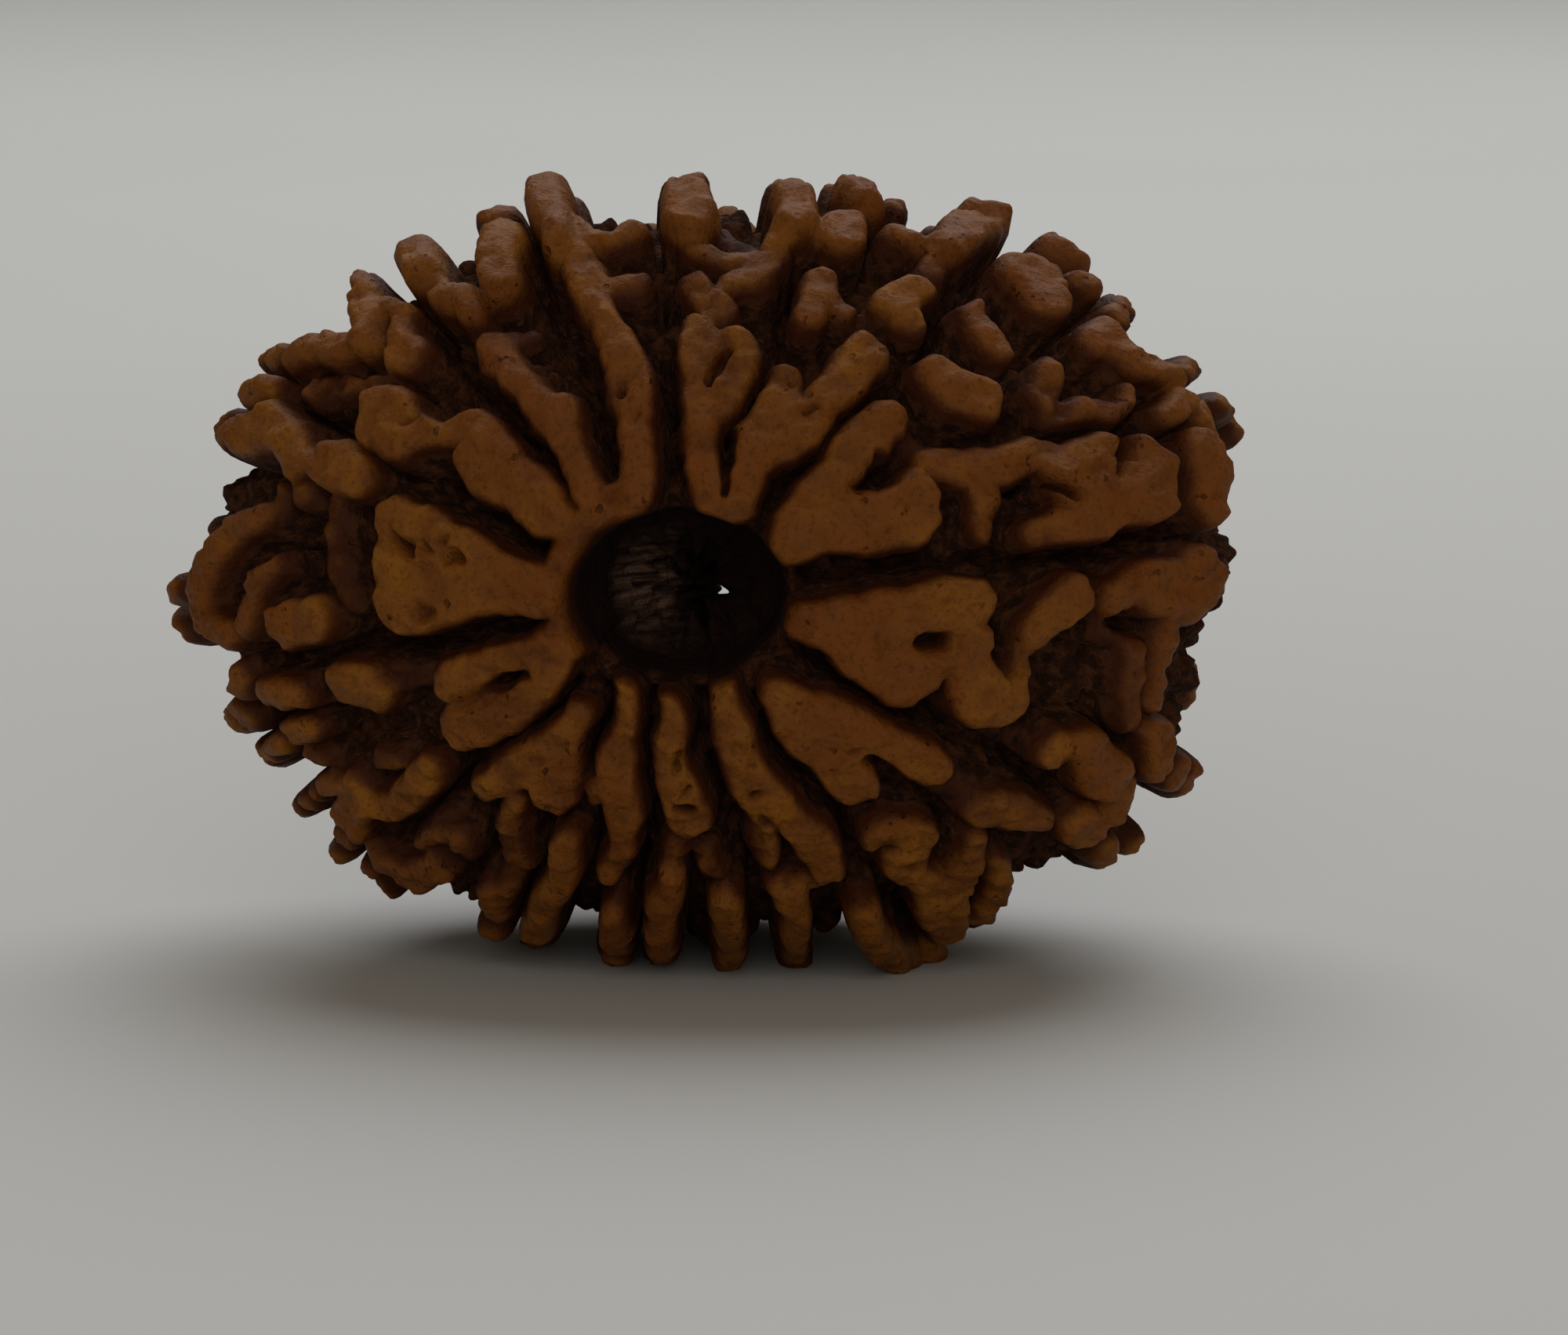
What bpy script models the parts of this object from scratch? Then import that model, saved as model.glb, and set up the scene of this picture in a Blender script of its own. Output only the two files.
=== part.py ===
"""A fourteen-faced rudraksha bead, lying on its edge as it comes to rest on a table.

The bead is the stone of a fruit and grew as one piece, so it is one solid: an oval body, a bore
from face to face, and a raised net of lobes, ridges and knobs over all of it. The near face is
drawn ridge by ridge. The far face and the sides follow the same growth by a rule.

Frame: +X to the right across the near face, +Y away along the bore, +Z up, with the origin under
the middle of the bead on the table. Lengths are in millimetres until the mesh is made.
"""

import math
import random

import bpy
import numpy as np
from mathutils import Vector
from mathutils.bvhtree import BVHTree

MM = 0.001

# Driving dimensions
WIDTH = 27.4  # over the crests, side to side
HEIGHT = 20.6  # over the crests, before the feet are worn flat
THICKNESS = 18.6  # over the crests, along the bore
RELIEF = 1.6  # from the valleys to the crests
FOOT_DROP = 9.8  # from the middle of the oval down to the worn feet
BOX_MIDDLE = (-0.179, 0.042)  # where the middle of the bead's box lies, from the middle of the oval

# The outline isn't a true oval: bearings round it in degrees from the right, how far each swell
# spreads, and how far it stands out, or with a minus how far it lies back
SWELLS = [
    (18.0, 30.0, 0.85),
    (108.0, 42.0, -0.15),
    (184.0, 14.0, 0.35),
    (208.0, 15.0, -0.40),
    (238.0, 14.0, 0.32),
    (-38.0, 28.0, 0.60),
    (-14.0, 11.0, -0.40),
]

# The bore: a wide mouth on the near face, a narrow throat, a smaller mouth on the far face
MOUTH_OVAL = (11.6, 9.7)  # side and height radii that shape the rows round a mouth
NEAR_MOUTH_SINE = 0.20  # how far out the near mouth's edge lies, as the sine of its colatitude
FAR_MOUTH_SINE = 0.125
NEAR_MOUTH_SHIFT = (0.0, 0.60)  # the mouths lie a little off the middle of the body
FAR_MOUTH_SHIFT = (1.0, -1.4)
FUNNEL_DEPTH = 1.3
FUNNEL_REACH = 0.05  # how far the funnel spreads from the mouth's edge, as a sine
THROAT_RADIUS = 1.05
THROAT_RUN = (0.22, 0.80)  # where the bore is that narrow, as shares of the way through
THROAT_SHIFT = (-0.30, 0.10)  # how far the throat lies beside the line between the mouths
BORE_SHARE = 0.13  # the share of the section, from face to face and back, that is bore

# Where the near face is seen from as its ridges are drawn, and the middle of the outline
EYE_TURN = math.radians(5.7)
EYE_LIFT = math.radians(8.0)
EYE_DISTANCE = 180.0
OUTLINE_MIDDLE = (0.9, 0.7)  # right of and above the middle of the mouth

# How a ridge is rounded
FULL_HEIGHT = 1.6  # the height that reaches the crests, as heights are given below
FULLER = 0.04  # how much further than drawn a ridge of the near face swells to each side
SHOULDER = 0.34  # from a ridge's edge in to its flat top
SKIRT = 0.14  # from a ridge's edge out to its foot
STEEPNESS = 3.0  # 2 rounds a ridge like a pipe, and more gives it steep sides and a flat top
WELD = 0.24  # fillet where one ridge runs into another

# The lines between the faces, from the mouth to the outline: right and up from the mouth
FACE_LINES = [
    [(-0.2, 2.0), (-0.3, 3.5), (-0.4, 5.0), (-0.5, 7.0), (-0.6, 9.0)],
    [(1.3, 3.0), (1.4, 4.2), (2.0, 5.4), (2.5, 6.6), (2.8, 7.7), (3.5, 9.2), (3.8, 10.0)],
    [(2.6, 2.9), (4.0, 4.1), (5.2, 5.3), (5.9, 6.2), (6.7, 7.0), (7.2, 7.9), (8.7, 8.9)],
    [(3.2, 0.5), (5.0, 0.75), (7.5, 1.1), (9.5, 1.0), (11.3, 1.3), (13.3, 2.0)],
    [(3.0, -1.4), (5.0, -2.8), (7.0, -3.6), (8.4, -4.5), (10.0, -5.2), (11.4, -5.6)],
    [(2.4, -3.5), (3.3, -4.9), (4.3, -6.4), (4.6, -7.4), (4.4, -8.0)],
    [(0.4, -2.8), (0.9, -4.5), (1.5, -6.2), (2.0, -7.4), (2.2, -8.2)],
    [(-0.8, -2.8), (-0.85, -4.5), (-0.9, -6.0), (-1.0, -7.2), (-1.0, -8.6)],
    [(-2.0, -2.8), (-2.2, -4.0), (-2.7, -5.6), (-2.4, -6.6), (-2.4, -7.8)],
    [(-2.9, -2.3), (-4.0, -3.6), (-5.6, -4.7), (-6.6, -5.8), (-7.6, -6.4)],
    [(-3.5, -0.85), (-5.0, -1.05), (-7.0, -1.3), (-9.0, -1.4), (-11.3, -1.45)],
    [(-3.5, 1.2), (-5.0, 2.2), (-6.5, 3.1), (-8.0, 4.0), (-9.2, 4.8), (-10.2, 5.3)],
    [(-2.8, 2.7), (-3.5, 3.9), (-4.8, 5.2), (-5.7, 6.2), (-6.2, 7.0), (-6.9, 7.7)],
    [(-1.6, 3.4), (-2.2, 4.7), (-2.6, 6.0), (-3.1, 7.3), (-3.7, 8.8)],
]

# The ridges of the near face. Each has its height over the valley and the points along its
# middle: right and up from the mouth, then half the ridge's width there.
FACE_RIDGES = {
    "upper right lobes": [
        (1.5, [(1.0, 2.1, 0.50), (0.65, 3.5, 0.48), (0.6, 5.0, 0.50), (0.6, 6.3, 0.50), (0.65, 7.0, 0.45)]),
        (1.5, [(0.8, 4.7, 0.45), (1.3, 5.6, 0.42), (1.8, 6.4, 0.45), (1.5, 6.8, 0.40)]),
        (1.5, [(1.5, 2.4, 0.45), (1.9, 3.6, 0.50), (2.4, 4.6, 0.65), (2.6, 5.3, 0.45), (2.8, 5.8, 0.35)]),
        (1.5, [(2.2, 3.9, 0.55), (3.2, 4.6, 0.50), (4.2, 5.6, 0.50), (4.9, 6.4, 0.58)]),
        (1.5, [(2.8, 1.7, 0.45), (3.6, 2.7, 0.50), (4.5, 3.9, 0.55), (5.4, 4.6, 0.58)]),
        (1.6, [(2.7, 1.4, 0.45), (3.8, 1.8, 0.60), (5.0, 1.9, 0.68), (6.0, 2.1, 0.75), (6.2, 2.8, 0.50)]),
        (1.5, [(3.3, 1.9, 0.50), (4.1, 2.4, 0.60), (4.7, 2.3, 0.50)]),
        (1.1, [(5.8, 4.7, 0.25), (6.3, 4.0, 0.25), (6.6, 3.6, 0.30)]),
    ],
    "upper right knobs": [
        (1.4, [(0.4, 8.4, 0.35), (0.8, 8.0, 0.45), (1.2, 7.6, 0.40)]),
        (2.0, [(0.2, 10.2, 0.55), (0.4, 9.7, 0.60)]),
        (1.0, [(0.9, 10.0, 0.35), (1.5, 9.6, 0.30), (2.1, 9.4, 0.25)]),
        (1.4, [(0.5, 9.3, 0.35), (1.1, 9.0, 0.35), (1.6, 8.9, 0.30), (2.2, 8.9, 0.35)]),
        (1.4, [(1.5, 8.4, 0.35), (2.2, 8.5, 0.42), (2.6, 9.0, 0.40), (2.8, 9.7, 0.35)]),
        (2.0, [(3.0, 10.3, 0.50), (3.1, 9.6, 0.50)]),
        (1.7, [(4.3, 9.8, 0.50), (4.3, 9.4, 0.58)]),
        (2.0, [(4.4, 10.5, 0.35), (4.9, 10.1, 0.40)]),
        (1.5, [(5.6, 9.6, 0.32), (6.1, 9.3, 0.30)]),
        (1.6, [(3.4, 7.3, 0.35), (3.7, 8.0, 0.45), (3.8, 8.3, 0.40)]),
        (1.4, [(3.9, 7.9, 0.35), (4.4, 7.5, 0.32)]),
        (1.6, [(5.6, 7.7, 0.42), (6.1, 8.0, 0.52), (6.5, 8.1, 0.42)]),
        (1.5, [(6.0, 7.7, 0.50), (6.2, 7.2, 0.35)]),
        (1.1, [(4.7, 7.4, 0.22), (5.3, 7.5, 0.25)]),
        (1.8, [(6.9, 9.1, 0.48), (7.4, 9.5, 0.60), (8.1, 9.8, 0.55)]),
        (1.4, [(6.9, 9.0, 0.40), (6.7, 8.6, 0.32)]),
        (2.2, [(7.6, 10.2, 0.25), (8.3, 10.2, 0.35)]),
        (1.5, [(7.8, 7.5, 0.42), (8.1, 7.0, 0.42), (8.5, 6.5, 0.35)]),
        (1.7, [(8.9, 8.5, 0.58), (9.4, 8.3, 0.78), (9.7, 7.7, 0.62)]),
        (2.1, [(9.6, 9.1, 0.40), (10.2, 8.8, 0.40)]),
        (1.7, [(10.5, 8.2, 0.38), (10.6, 8.1, 0.30)]),
        (1.6, [(6.7, 5.8, 0.55), (7.2, 5.5, 0.62), (8.0, 5.2, 0.45)]),
        (1.4, [(9.8, 6.0, 0.35), (9.7, 5.4, 0.35)]),
        (1.4, [(9.9, 4.9, 0.28), (10.6, 5.05, 0.34), (11.2, 5.0, 0.35)]),
        (1.5, [(11.75, 5.4, 0.24), (11.6, 5.1, 0.20)]),
        (1.6, [(10.9, 6.7, 0.48), (11.2, 7.0, 0.42), (11.6, 6.4, 0.48)]),
        (1.7, [(11.8, 6.2, 0.40), (12.4, 6.0, 0.35), (13.0, 5.7, 0.30)]),
        (1.6, [(12.7, 4.8, 0.28), (13.2, 5.2, 0.35)]),
        (1.5, [(13.7, 4.8, 0.32), (13.9, 4.3, 0.32)]),
    ],
    "right blocks": [
        (1.5, [(6.6, 3.5, 0.35), (7.6, 3.4, 0.45), (8.6, 3.6, 0.50), (9.4, 3.9, 0.38), (10.3, 3.6, 0.55)]),
        (1.6, [(10.4, 3.6, 0.50), (11.0, 3.95, 0.38)]),
        (1.7, [(10.2, 3.2, 0.65), (11.0, 2.8, 0.85), (12.0, 2.8, 0.75)]),
        (1.7, [(12.05, 4.0, 0.40), (12.5, 3.5, 0.55), (12.3, 2.8, 0.75)]),
        (1.6, [(9.3, 1.75, 0.30), (10.2, 1.95, 0.46), (11.1, 2.2, 0.58)]),
        (1.4, [(8.0, 3.0, 0.38), (8.0, 2.3, 0.40), (8.0, 1.9, 0.34)]),
        (1.7, [(13.6, 4.0, 0.45), (13.9, 3.3, 0.55), (13.8, 2.6, 0.50)]),
        (1.6, [(9.4, -0.8, 0.48), (9.9, -0.3, 0.60), (10.2, 0.0, 0.52)]),
        (1.6, [(11.4, 0.1, 0.50), (12.2, 0.4, 0.62), (13.0, 0.2, 0.68)]),
        (1.7, [(13.5, 1.0, 0.50), (13.8, 0.4, 0.50), (13.5, -0.1, 0.48)]),
        (1.4, [(13.0, -0.3, 0.46), (12.8, -1.0, 0.36)]),
        (1.2, [(11.4, -0.2, 0.38), (11.4, -0.9, 0.24), (12.0, -1.3, 0.28)]),
        (1.4, [(12.0, -1.4, 0.42), (11.9, -2.4, 0.44), (12.0, -3.3, 0.38)]),
        (1.5, [(12.7, -1.3, 0.30), (12.6, -2.6, 0.30)]),
    ],
    "lower right lobes": [
        (1.6, [(3.2, -0.6, 0.48), (4.4, -0.7, 0.80), (5.5, -1.0, 1.20), (6.0, -1.2, 1.30)]),
        (1.6, [(5.1, -1.5, 0.90), (5.7, -2.2, 0.62)]),
        (1.6, [(6.2, -0.5, 0.70), (7.2, -0.2, 0.70), (7.8, -0.1, 0.52)]),
        (1.5, [(7.0, -1.2, 0.68), (7.6, -1.0, 0.50)]),
        (1.6, [(7.6, -1.7, 0.42), (7.9, -2.5, 0.72), (8.5, -2.6, 0.70)]),
        (1.3, [(8.9, -2.1, 0.42), (9.0, -1.4, 0.32), (9.5, -0.9, 0.45)]),
        (1.6, [(2.6, -2.5, 0.42), (3.3, -3.3, 0.70), (4.1, -4.0, 0.78), (4.6, -4.9, 0.60)]),
        (1.6, [(3.6, -3.1, 0.60), (4.8, -3.6, 0.55), (5.8, -4.0, 0.48), (6.6, -4.4, 0.52)]),
        (1.5, [(1.2, -2.4, 0.32), (1.5, -3.8, 0.42), (2.0, -4.8, 0.58), (2.4, -5.4, 0.58)]),
        (1.4, [(2.2, -5.6, 0.30), (2.3, -6.5, 0.33), (2.4, -7.0, 0.25)]),
        (1.4, [(2.6, -5.6, 0.38), (3.1, -6.0, 0.38)]),
        (1.5, [(3.0, -5.7, 0.38), (3.7, -6.6, 0.48), (4.0, -7.2, 0.42)]),
        (1.3, [(3.5, -7.5, 0.32), (3.0, -7.6, 0.30)]),
        (1.7, [(2.9, -7.6, 0.36), (3.1, -8.3, 0.34), (3.1, -8.9, 0.32)]),
    ],
    "lower right knobs": [
        (1.5, [(9.8, -4.1, 0.48), (10.0, -3.8, 0.40)]),
        (1.7, [(10.7, -3.9, 0.55), (11.0, -4.5, 0.72), (11.2, -4.7, 0.58)]),
        (1.7, [(12.5, -3.6, 0.48), (12.5, -4.3, 0.52)]),
        (1.6, [(10.5, -5.9, 0.55), (10.7, -6.1, 0.48)]),
        (1.6, [(11.5, -5.1, 0.38), (11.3, -5.6, 0.36)]),
        (1.0, [(7.0, -4.9, 0.38), (7.6, -5.3, 0.38)]),
        (1.5, [(7.9, -5.6, 0.40), (8.8, -5.7, 0.52), (9.6, -5.8, 0.35)]),
        (1.6, [(5.5, -6.2, 0.58), (6.2, -6.3, 0.65), (6.0, -7.0, 0.58)]),
        (1.7, [(6.4, -7.4, 0.45), (6.9, -8.0, 0.62), (7.0, -8.6, 0.50)]),
        (1.5, [(7.1, -7.9, 0.40), (7.5, -7.1, 0.38), (7.8, -6.4, 0.35)]),
        (1.5, [(8.4, -7.0, 0.34), (8.3, -7.8, 0.38), (7.9, -8.4, 0.38)]),
        (2.0, [(4.8, -8.0, 0.38), (5.2, -8.8, 0.42), (5.9, -9.3, 0.44), (6.5, -9.1, 0.40)]),
    ],
    "lower lobes": [
        (1.5, [(-0.2, -2.6, 0.20), (-0.15, -4.0, 0.35), (0.1, -5.1, 0.58), (0.25, -5.8, 0.58)]),
        (1.3, [(0.1, -6.2, 0.32), (0.0, -6.9, 0.26)]),
        (1.8, [(-0.1, -7.2, 0.30), (-0.3, -8.0, 0.38), (-0.35, -8.8, 0.34)]),
        (1.2, [(0.8, -6.8, 0.28), (1.0, -7.3, 0.30)]),
        (1.8, [(1.3, -7.8, 0.34), (1.4, -8.7, 0.38)]),
        (1.5, [(-1.4, -2.3, 0.28), (-1.4, -3.6, 0.38), (-1.6, -4.7, 0.48), (-1.45, -5.8, 0.42)]),
        (1.5, [(-1.4, -5.9, 0.38), (-1.4, -6.6, 0.34), (-1.8, -7.2, 0.32)]),
        (1.4, [(-1.7, -4.8, 0.38), (-2.2, -5.2, 0.30)]),
        (1.8, [(-1.6, -8.0, 0.34), (-1.5, -8.7, 0.32)]),
        (1.5, [(-2.5, -2.9, 0.30), (-3.0, -3.8, 0.55), (-3.4, -4.5, 0.82), (-3.3, -5.1, 0.58)]),
        (1.5, [(-3.6, -4.2, 0.50), (-4.5, -4.8, 0.48), (-5.0, -5.0, 0.36)]),
        (1.3, [(-4.3, -5.5, 0.33), (-4.3, -6.5, 0.34), (-4.2, -7.0, 0.30)]),
        (1.4, [(-4.4, -7.3, 0.26), (-4.5, -7.9, 0.26)]),
        (1.7, [(-2.8, -6.2, 0.30), (-2.9, -7.0, 0.38), (-3.4, -7.9, 0.38), (-3.6, -8.7, 0.36)]),
        (1.6, [(-4.9, -7.6, 0.28), (-4.7, -8.2, 0.30)]),
    ],
    "left lobes": [
        (1.4, [(-2.6, -1.2, 0.34), (-2.85, -0.2, 0.45), (-2.85, 0.8, 0.45), (-2.6, 1.7, 0.48)]),
        (1.5, [(-3.0, -0.9, 0.45), (-4.0, -1.5, 0.34), (-5.0, -1.8, 0.35), (-5.9, -2.1, 0.55)]),
        (1.5, [(-2.9, -1.3, 0.40), (-3.7, -2.3, 0.42), (-4.6, -3.0, 0.66), (-5.5, -3.4, 0.65)]),
        (1.2, [(-5.9, -2.4, 0.38), (-5.6, -3.0, 0.38)]),
        (1.6, [(-3.2, 0.1, 0.50), (-4.4, 0.4, 0.80), (-5.6, 0.55, 1.05), (-6.7, 0.6, 1.30)]),
        (1.6, [(-7.3, 2.2, 0.50), (-7.2, 0.9, 0.65), (-7.2, -0.3, 0.60)]),
        (1.6, [(-6.3, 1.6, 0.52), (-6.9, 2.0, 0.50)]),
        (1.6, [(-3.1, 1.9, 0.38), (-3.9, 2.7, 0.58), (-4.7, 3.3, 0.78), (-5.2, 3.6, 0.60)]),
        (1.6, [(-4.6, 3.9, 0.50), (-5.3, 4.5, 0.40), (-6.3, 4.4, 0.38), (-7.0, 4.4, 0.58), (-7.6, 4.8, 0.78)]),
        (1.5, [(-2.3, 2.5, 0.40), (-2.8, 3.8, 0.42), (-3.0, 4.6, 0.58), (-3.0, 5.0, 0.50)]),
        (1.5, [(-3.3, 4.8, 0.50), (-4.0, 5.6, 0.38), (-4.7, 6.4, 0.48), (-4.9, 6.7, 0.40)]),
        (1.3, [(-4.7, 6.8, 0.30), (-3.9, 7.05, 0.20)]),
        (1.2, [(-4.0, 6.0, 0.25), (-3.5, 6.1, 0.14)]),
        (1.4, [(-2.1, 2.2, 0.55), (-1.4, 2.5, 0.55)]),
        (1.6, [(-1.1, 2.8, 0.42), (-1.05, 4.2, 0.45), (-1.2, 5.3, 0.58), (-1.5, 6.5, 0.45)]),
        (1.6, [(-1.5, 6.5, 0.45), (-2.0, 7.5, 0.42), (-2.3, 8.6, 0.42), (-2.6, 9.2, 0.35)]),
    ],
    "left knobs": [
        (2.2, [(-3.3, 10.3, 0.45), (-3.2, 9.7, 0.40), (-2.9, 9.0, 0.32)]),
        (1.6, [(-2.8, 9.8, 0.25), (-2.2, 9.4, 0.25), (-1.6, 9.3, 0.30), (-1.1, 9.6, 0.36)]),
        (1.4, [(-1.5, 8.3, 0.35), (-1.0, 8.3, 0.32)]),
        (2.0, [(-4.45, 9.3, 0.46), (-4.5, 8.6, 0.48), (-4.4, 8.1, 0.45)]),
        (2.1, [(-6.6, 8.8, 0.50), (-6.4, 8.3, 0.42)]),
        (1.6, [(-6.4, 8.3, 0.40), (-6.0, 7.9, 0.38), (-5.4, 7.7, 0.38), (-5.2, 7.4, 0.34)]),
        (1.9, [(-8.0, 6.6, 0.30), (-7.95, 7.3, 0.34), (-7.9, 7.8, 0.36)]),
        (1.7, [(-7.6, 7.6, 0.22), (-7.2, 7.3, 0.35)]),
        (1.6, [(-7.2, 7.0, 0.40), (-7.0, 6.4, 0.55)]),
        (1.5, [(-7.2, 3.95, 0.36), (-7.7, 4.4, 0.50), (-7.9, 5.2, 0.38)]),
        (1.3, [(-9.5, 5.6, 0.38), (-8.9, 5.6, 0.42), (-8.3, 5.6, 0.28), (-7.6, 5.8, 0.22)]),
        (1.7, [(-9.8, 6.3, 0.36), (-9.3, 6.6, 0.40), (-8.6, 6.5, 0.40)]),
        (1.7, [(-11.2, 4.2, 0.50), (-10.6, 4.5, 0.62), (-10.1, 4.3, 0.50), (-9.9, 3.6, 0.38)]),
        (1.7, [(-10.9, 5.3, 0.34), (-10.4, 5.5, 0.30)]),
        (1.3, [(-9.9, 3.2, 0.33), (-9.8, 2.7, 0.30)]),
        (1.7, [(-9.2, 3.6, 0.50), (-8.7, 3.5, 0.58), (-8.2, 3.1, 0.42)]),
        (1.2, [(-9.0, 2.6, 0.25), (-9.1, 1.6, 0.25), (-9.0, 0.6, 0.34), (-8.7, 0.0, 0.34)]),
        (1.7, [(-10.2, -0.65, 0.50), (-9.4, -0.6, 0.55)]),
        (1.5, [(-10.5, 0.9, 0.30), (-10.9, 0.4, 0.34), (-11.2, -0.4, 0.38), (-11.2, -0.9, 0.34)]),
        (1.6, [(-10.9, 2.1, 0.40), (-11.6, 1.7, 0.46), (-12.1, 1.0, 0.42), (-12.3, 0.2, 0.40)]),
        (1.6, [(-12.3, 0.2, 0.40), (-12.2, -0.5, 0.46), (-11.7, -0.9, 0.42)]),
        (1.2, [(-10.7, 2.2, 0.30), (-10.5, 2.8, 0.30)]),
        (1.6, [(-8.5, -2.3, 0.60), (-8.0, -2.4, 0.65)]),
        (1.1, [(-7.3, -2.1, 0.38), (-6.9, -2.1, 0.30)]),
        (1.6, [(-10.6, -2.5, 0.40), (-9.9, -2.4, 0.36)]),
        (1.6, [(-11.4, -1.9, 0.30), (-11.3, -2.4, 0.30)]),
        (1.5, [(-10.0, -3.5, 0.30), (-9.5, -3.4, 0.34)]),
        (1.4, [(-9.6, -4.1, 0.25), (-9.2, -4.3, 0.25)]),
        (1.3, [(-7.8, -4.3, 0.30), (-7.4, -4.3, 0.30)]),
        (1.5, [(-9.1, -4.9, 0.30), (-8.4, -4.8, 0.34)]),
        (1.6, [(-8.1, -5.3, 0.40), (-8.6, -5.7, 0.38), (-8.2, -6.1, 0.34)]),
        (1.5, [(-6.4, -4.5, 0.34), (-6.8, -5.0, 0.44), (-7.3, -5.5, 0.40), (-7.8, -5.4, 0.30)]),
        (1.5, [(-7.9, -6.6, 0.30), (-7.7, -6.9, 0.30)]),
        (1.3, [(-6.0, -5.9, 0.25), (-6.7, -6.5, 0.28)]),
        (1.6, [(-7.5, -7.0, 0.38), (-6.8, -7.3, 0.50), (-6.2, -7.1, 0.42)]),
        (1.3, [(-5.7, -6.4, 0.32), (-5.6, -6.6, 0.30)]),
    ],
}

# Pits sunk into the lobes of the near face: depth, then points as for a ridge
FACE_PITS = [
    (0.5, [(0.8, 5.6, 0.12), (1.2, 6.4, 0.12)]),
    (0.9, [(1.15, 2.6, 0.10), (1.3, 3.4, 0.12), (1.5, 4.4, 0.14)]),
    (1.0, [(11.5, 4.1, 0.16), (11.45, 3.3, 0.14)]),
    (0.9, [(9.5, 3.1, 0.18), (10.2, 2.75, 0.16)]),
    (0.9, [(5.0, -4.1, 0.12), (5.6, -4.7, 0.20)]),
    (0.7, [(5.2, 3.7, 0.18), (5.6, 3.4, 0.16)]),
    (0.8, [(8.5, -1.9, 0.12), (8.7, -1.2, 0.14)]),
    (0.8, [(6.0, -8.0, 0.16), (5.6, -7.6, 0.14)]),
    (0.6, [(-3.3, 6.4, 0.14), (-3.6, 6.1, 0.16)]),
    (0.6, [(-10.6, 1.3, 0.20), (-10.9, 1.1, 0.20)]),
    (0.9, [(6.5, -1.1, 0.24), (6.8, -1.1, 0.24)]),
    (0.3, [(5.3, -1.2, 0.22), (5.4, -1.3, 0.20)]),
    (0.7, [(0.1, -5.5, 0.20), (0.2, -5.5, 0.20)]),
    (0.3, [(0.1, -4.0, 0.12), (0.1, -4.4, 0.12)]),
    (0.5, [(-7.3, 1.6, 0.18), (-6.8, 1.3, 0.22)]),
    (0.5, [(-5.8, 1.0, 0.16), (-5.6, 0.95, 0.18)]),
    (0.3, [(-6.7, -0.3, 0.16), (-6.3, -0.3, 0.16)]),
    (0.8, [(-3.9, -2.0, 0.12), (-5.0, -2.3, 0.16)]),
    (0.4, [(2.1, -5.1, 0.14), (2.1, -5.2, 0.12)]),
    (0.5, [(2.35, -5.8, 0.16), (2.4, -5.9, 0.14)]),
    (0.4, [(5.4, -6.6, 0.16), (5.6, -6.6, 0.14)]),
    (0.5, [(10.1, 7.8, 0.18), (10.2, 7.7, 0.16)]),
    (0.4, [(-6.4, 1.35, 0.12), (-6.2, 1.1, 0.10)]),
    (0.3, [(-7.4, 1.9, 0.10), (-7.2, 2.1, 0.10)]),
    (0.4, [(-5.9, 1.3, 0.09), (-5.8, 1.5, 0.09)]),
    (0.3, [(-4.9, -2.6, 0.12), (-5.1, -2.7, 0.10)]),
    (0.3, [(-1.5, 5.3, 0.12), (-1.4, 5.6, 0.10)]),
    (0.3, [(-1.0, 4.6, 0.10), (-0.9, 4.8, 0.10)]),
    (0.3, [(-7.0, 4.6, 0.12), (-6.8, 4.8, 0.12)]),
    (0.3, [(4.6, -3.9, 0.12), (4.8, -3.8, 0.12)]),
    (0.3, [(3.7, -5.0, 0.12), (3.9, -5.2, 0.10)]),
    (0.3, [(6.1, -6.9, 0.12), (6.2, -7.0, 0.10)]),
    (0.3, [(0.35, -4.9, 0.08), (0.2, -5.1, 0.08)]),
    (0.3, [(3.3, 4.9, 0.10), (3.5, 5.0, 0.10)]),
    (0.3, [(12.9, 3.3, 0.12), (13.0, 3.1, 0.12)]),
    (0.6, [(11.5, -0.6, 0.20), (11.8, -0.7, 0.18)]),
]

# The growth rule of the sides and the far face
GROWTH_SEED = 14
ROW_COLATITUDES = (131.0, 122.5, 114.0, 105.0, 96.0, 87.0, 79.0)
KNOB_SPACING = 1.7
KNOB_GAP = 0.20  # left free between a grown knob and what stands there already
TRIES = 5  # places that are tried for a grown knob
SMALL_KNOBS = 1500  # places that are tried for a small knob once the rows are full
OVER_THE_EDGE = 0.6  # ridges of the near face that turn this far away are followed by knobs
NEARLY_HIDDEN = 0.22  # from here on knobs grow behind a ridge, and low ones between the ridges
LOW_KNOB = 0.4  # the height of those low ones
OUT_OF_SIGHT = -0.45  # and from here on knobs grow freely


def smoothstep(low, high, value):
    t = np.clip((value - low) / (high - low), 0.0, 1.0)
    return t * t * (3.0 - 2.0 * t)


def ripple(points, length, seed, waves=7):
    """A smooth uneven field over space, between about -1 and 1, whose swells are this long."""
    draw = np.random.default_rng(seed)
    total = np.zeros(len(points))
    for _ in range(waves):
        way = draw.normal(size=3)
        way /= np.linalg.norm(way)
        pitch = 2.0 * math.pi / (length * draw.uniform(0.7, 1.4))
        total += np.sin(points @ way * pitch + draw.uniform(0.0, 2.0 * math.pi))
    return total / math.sqrt(waves)


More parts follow.
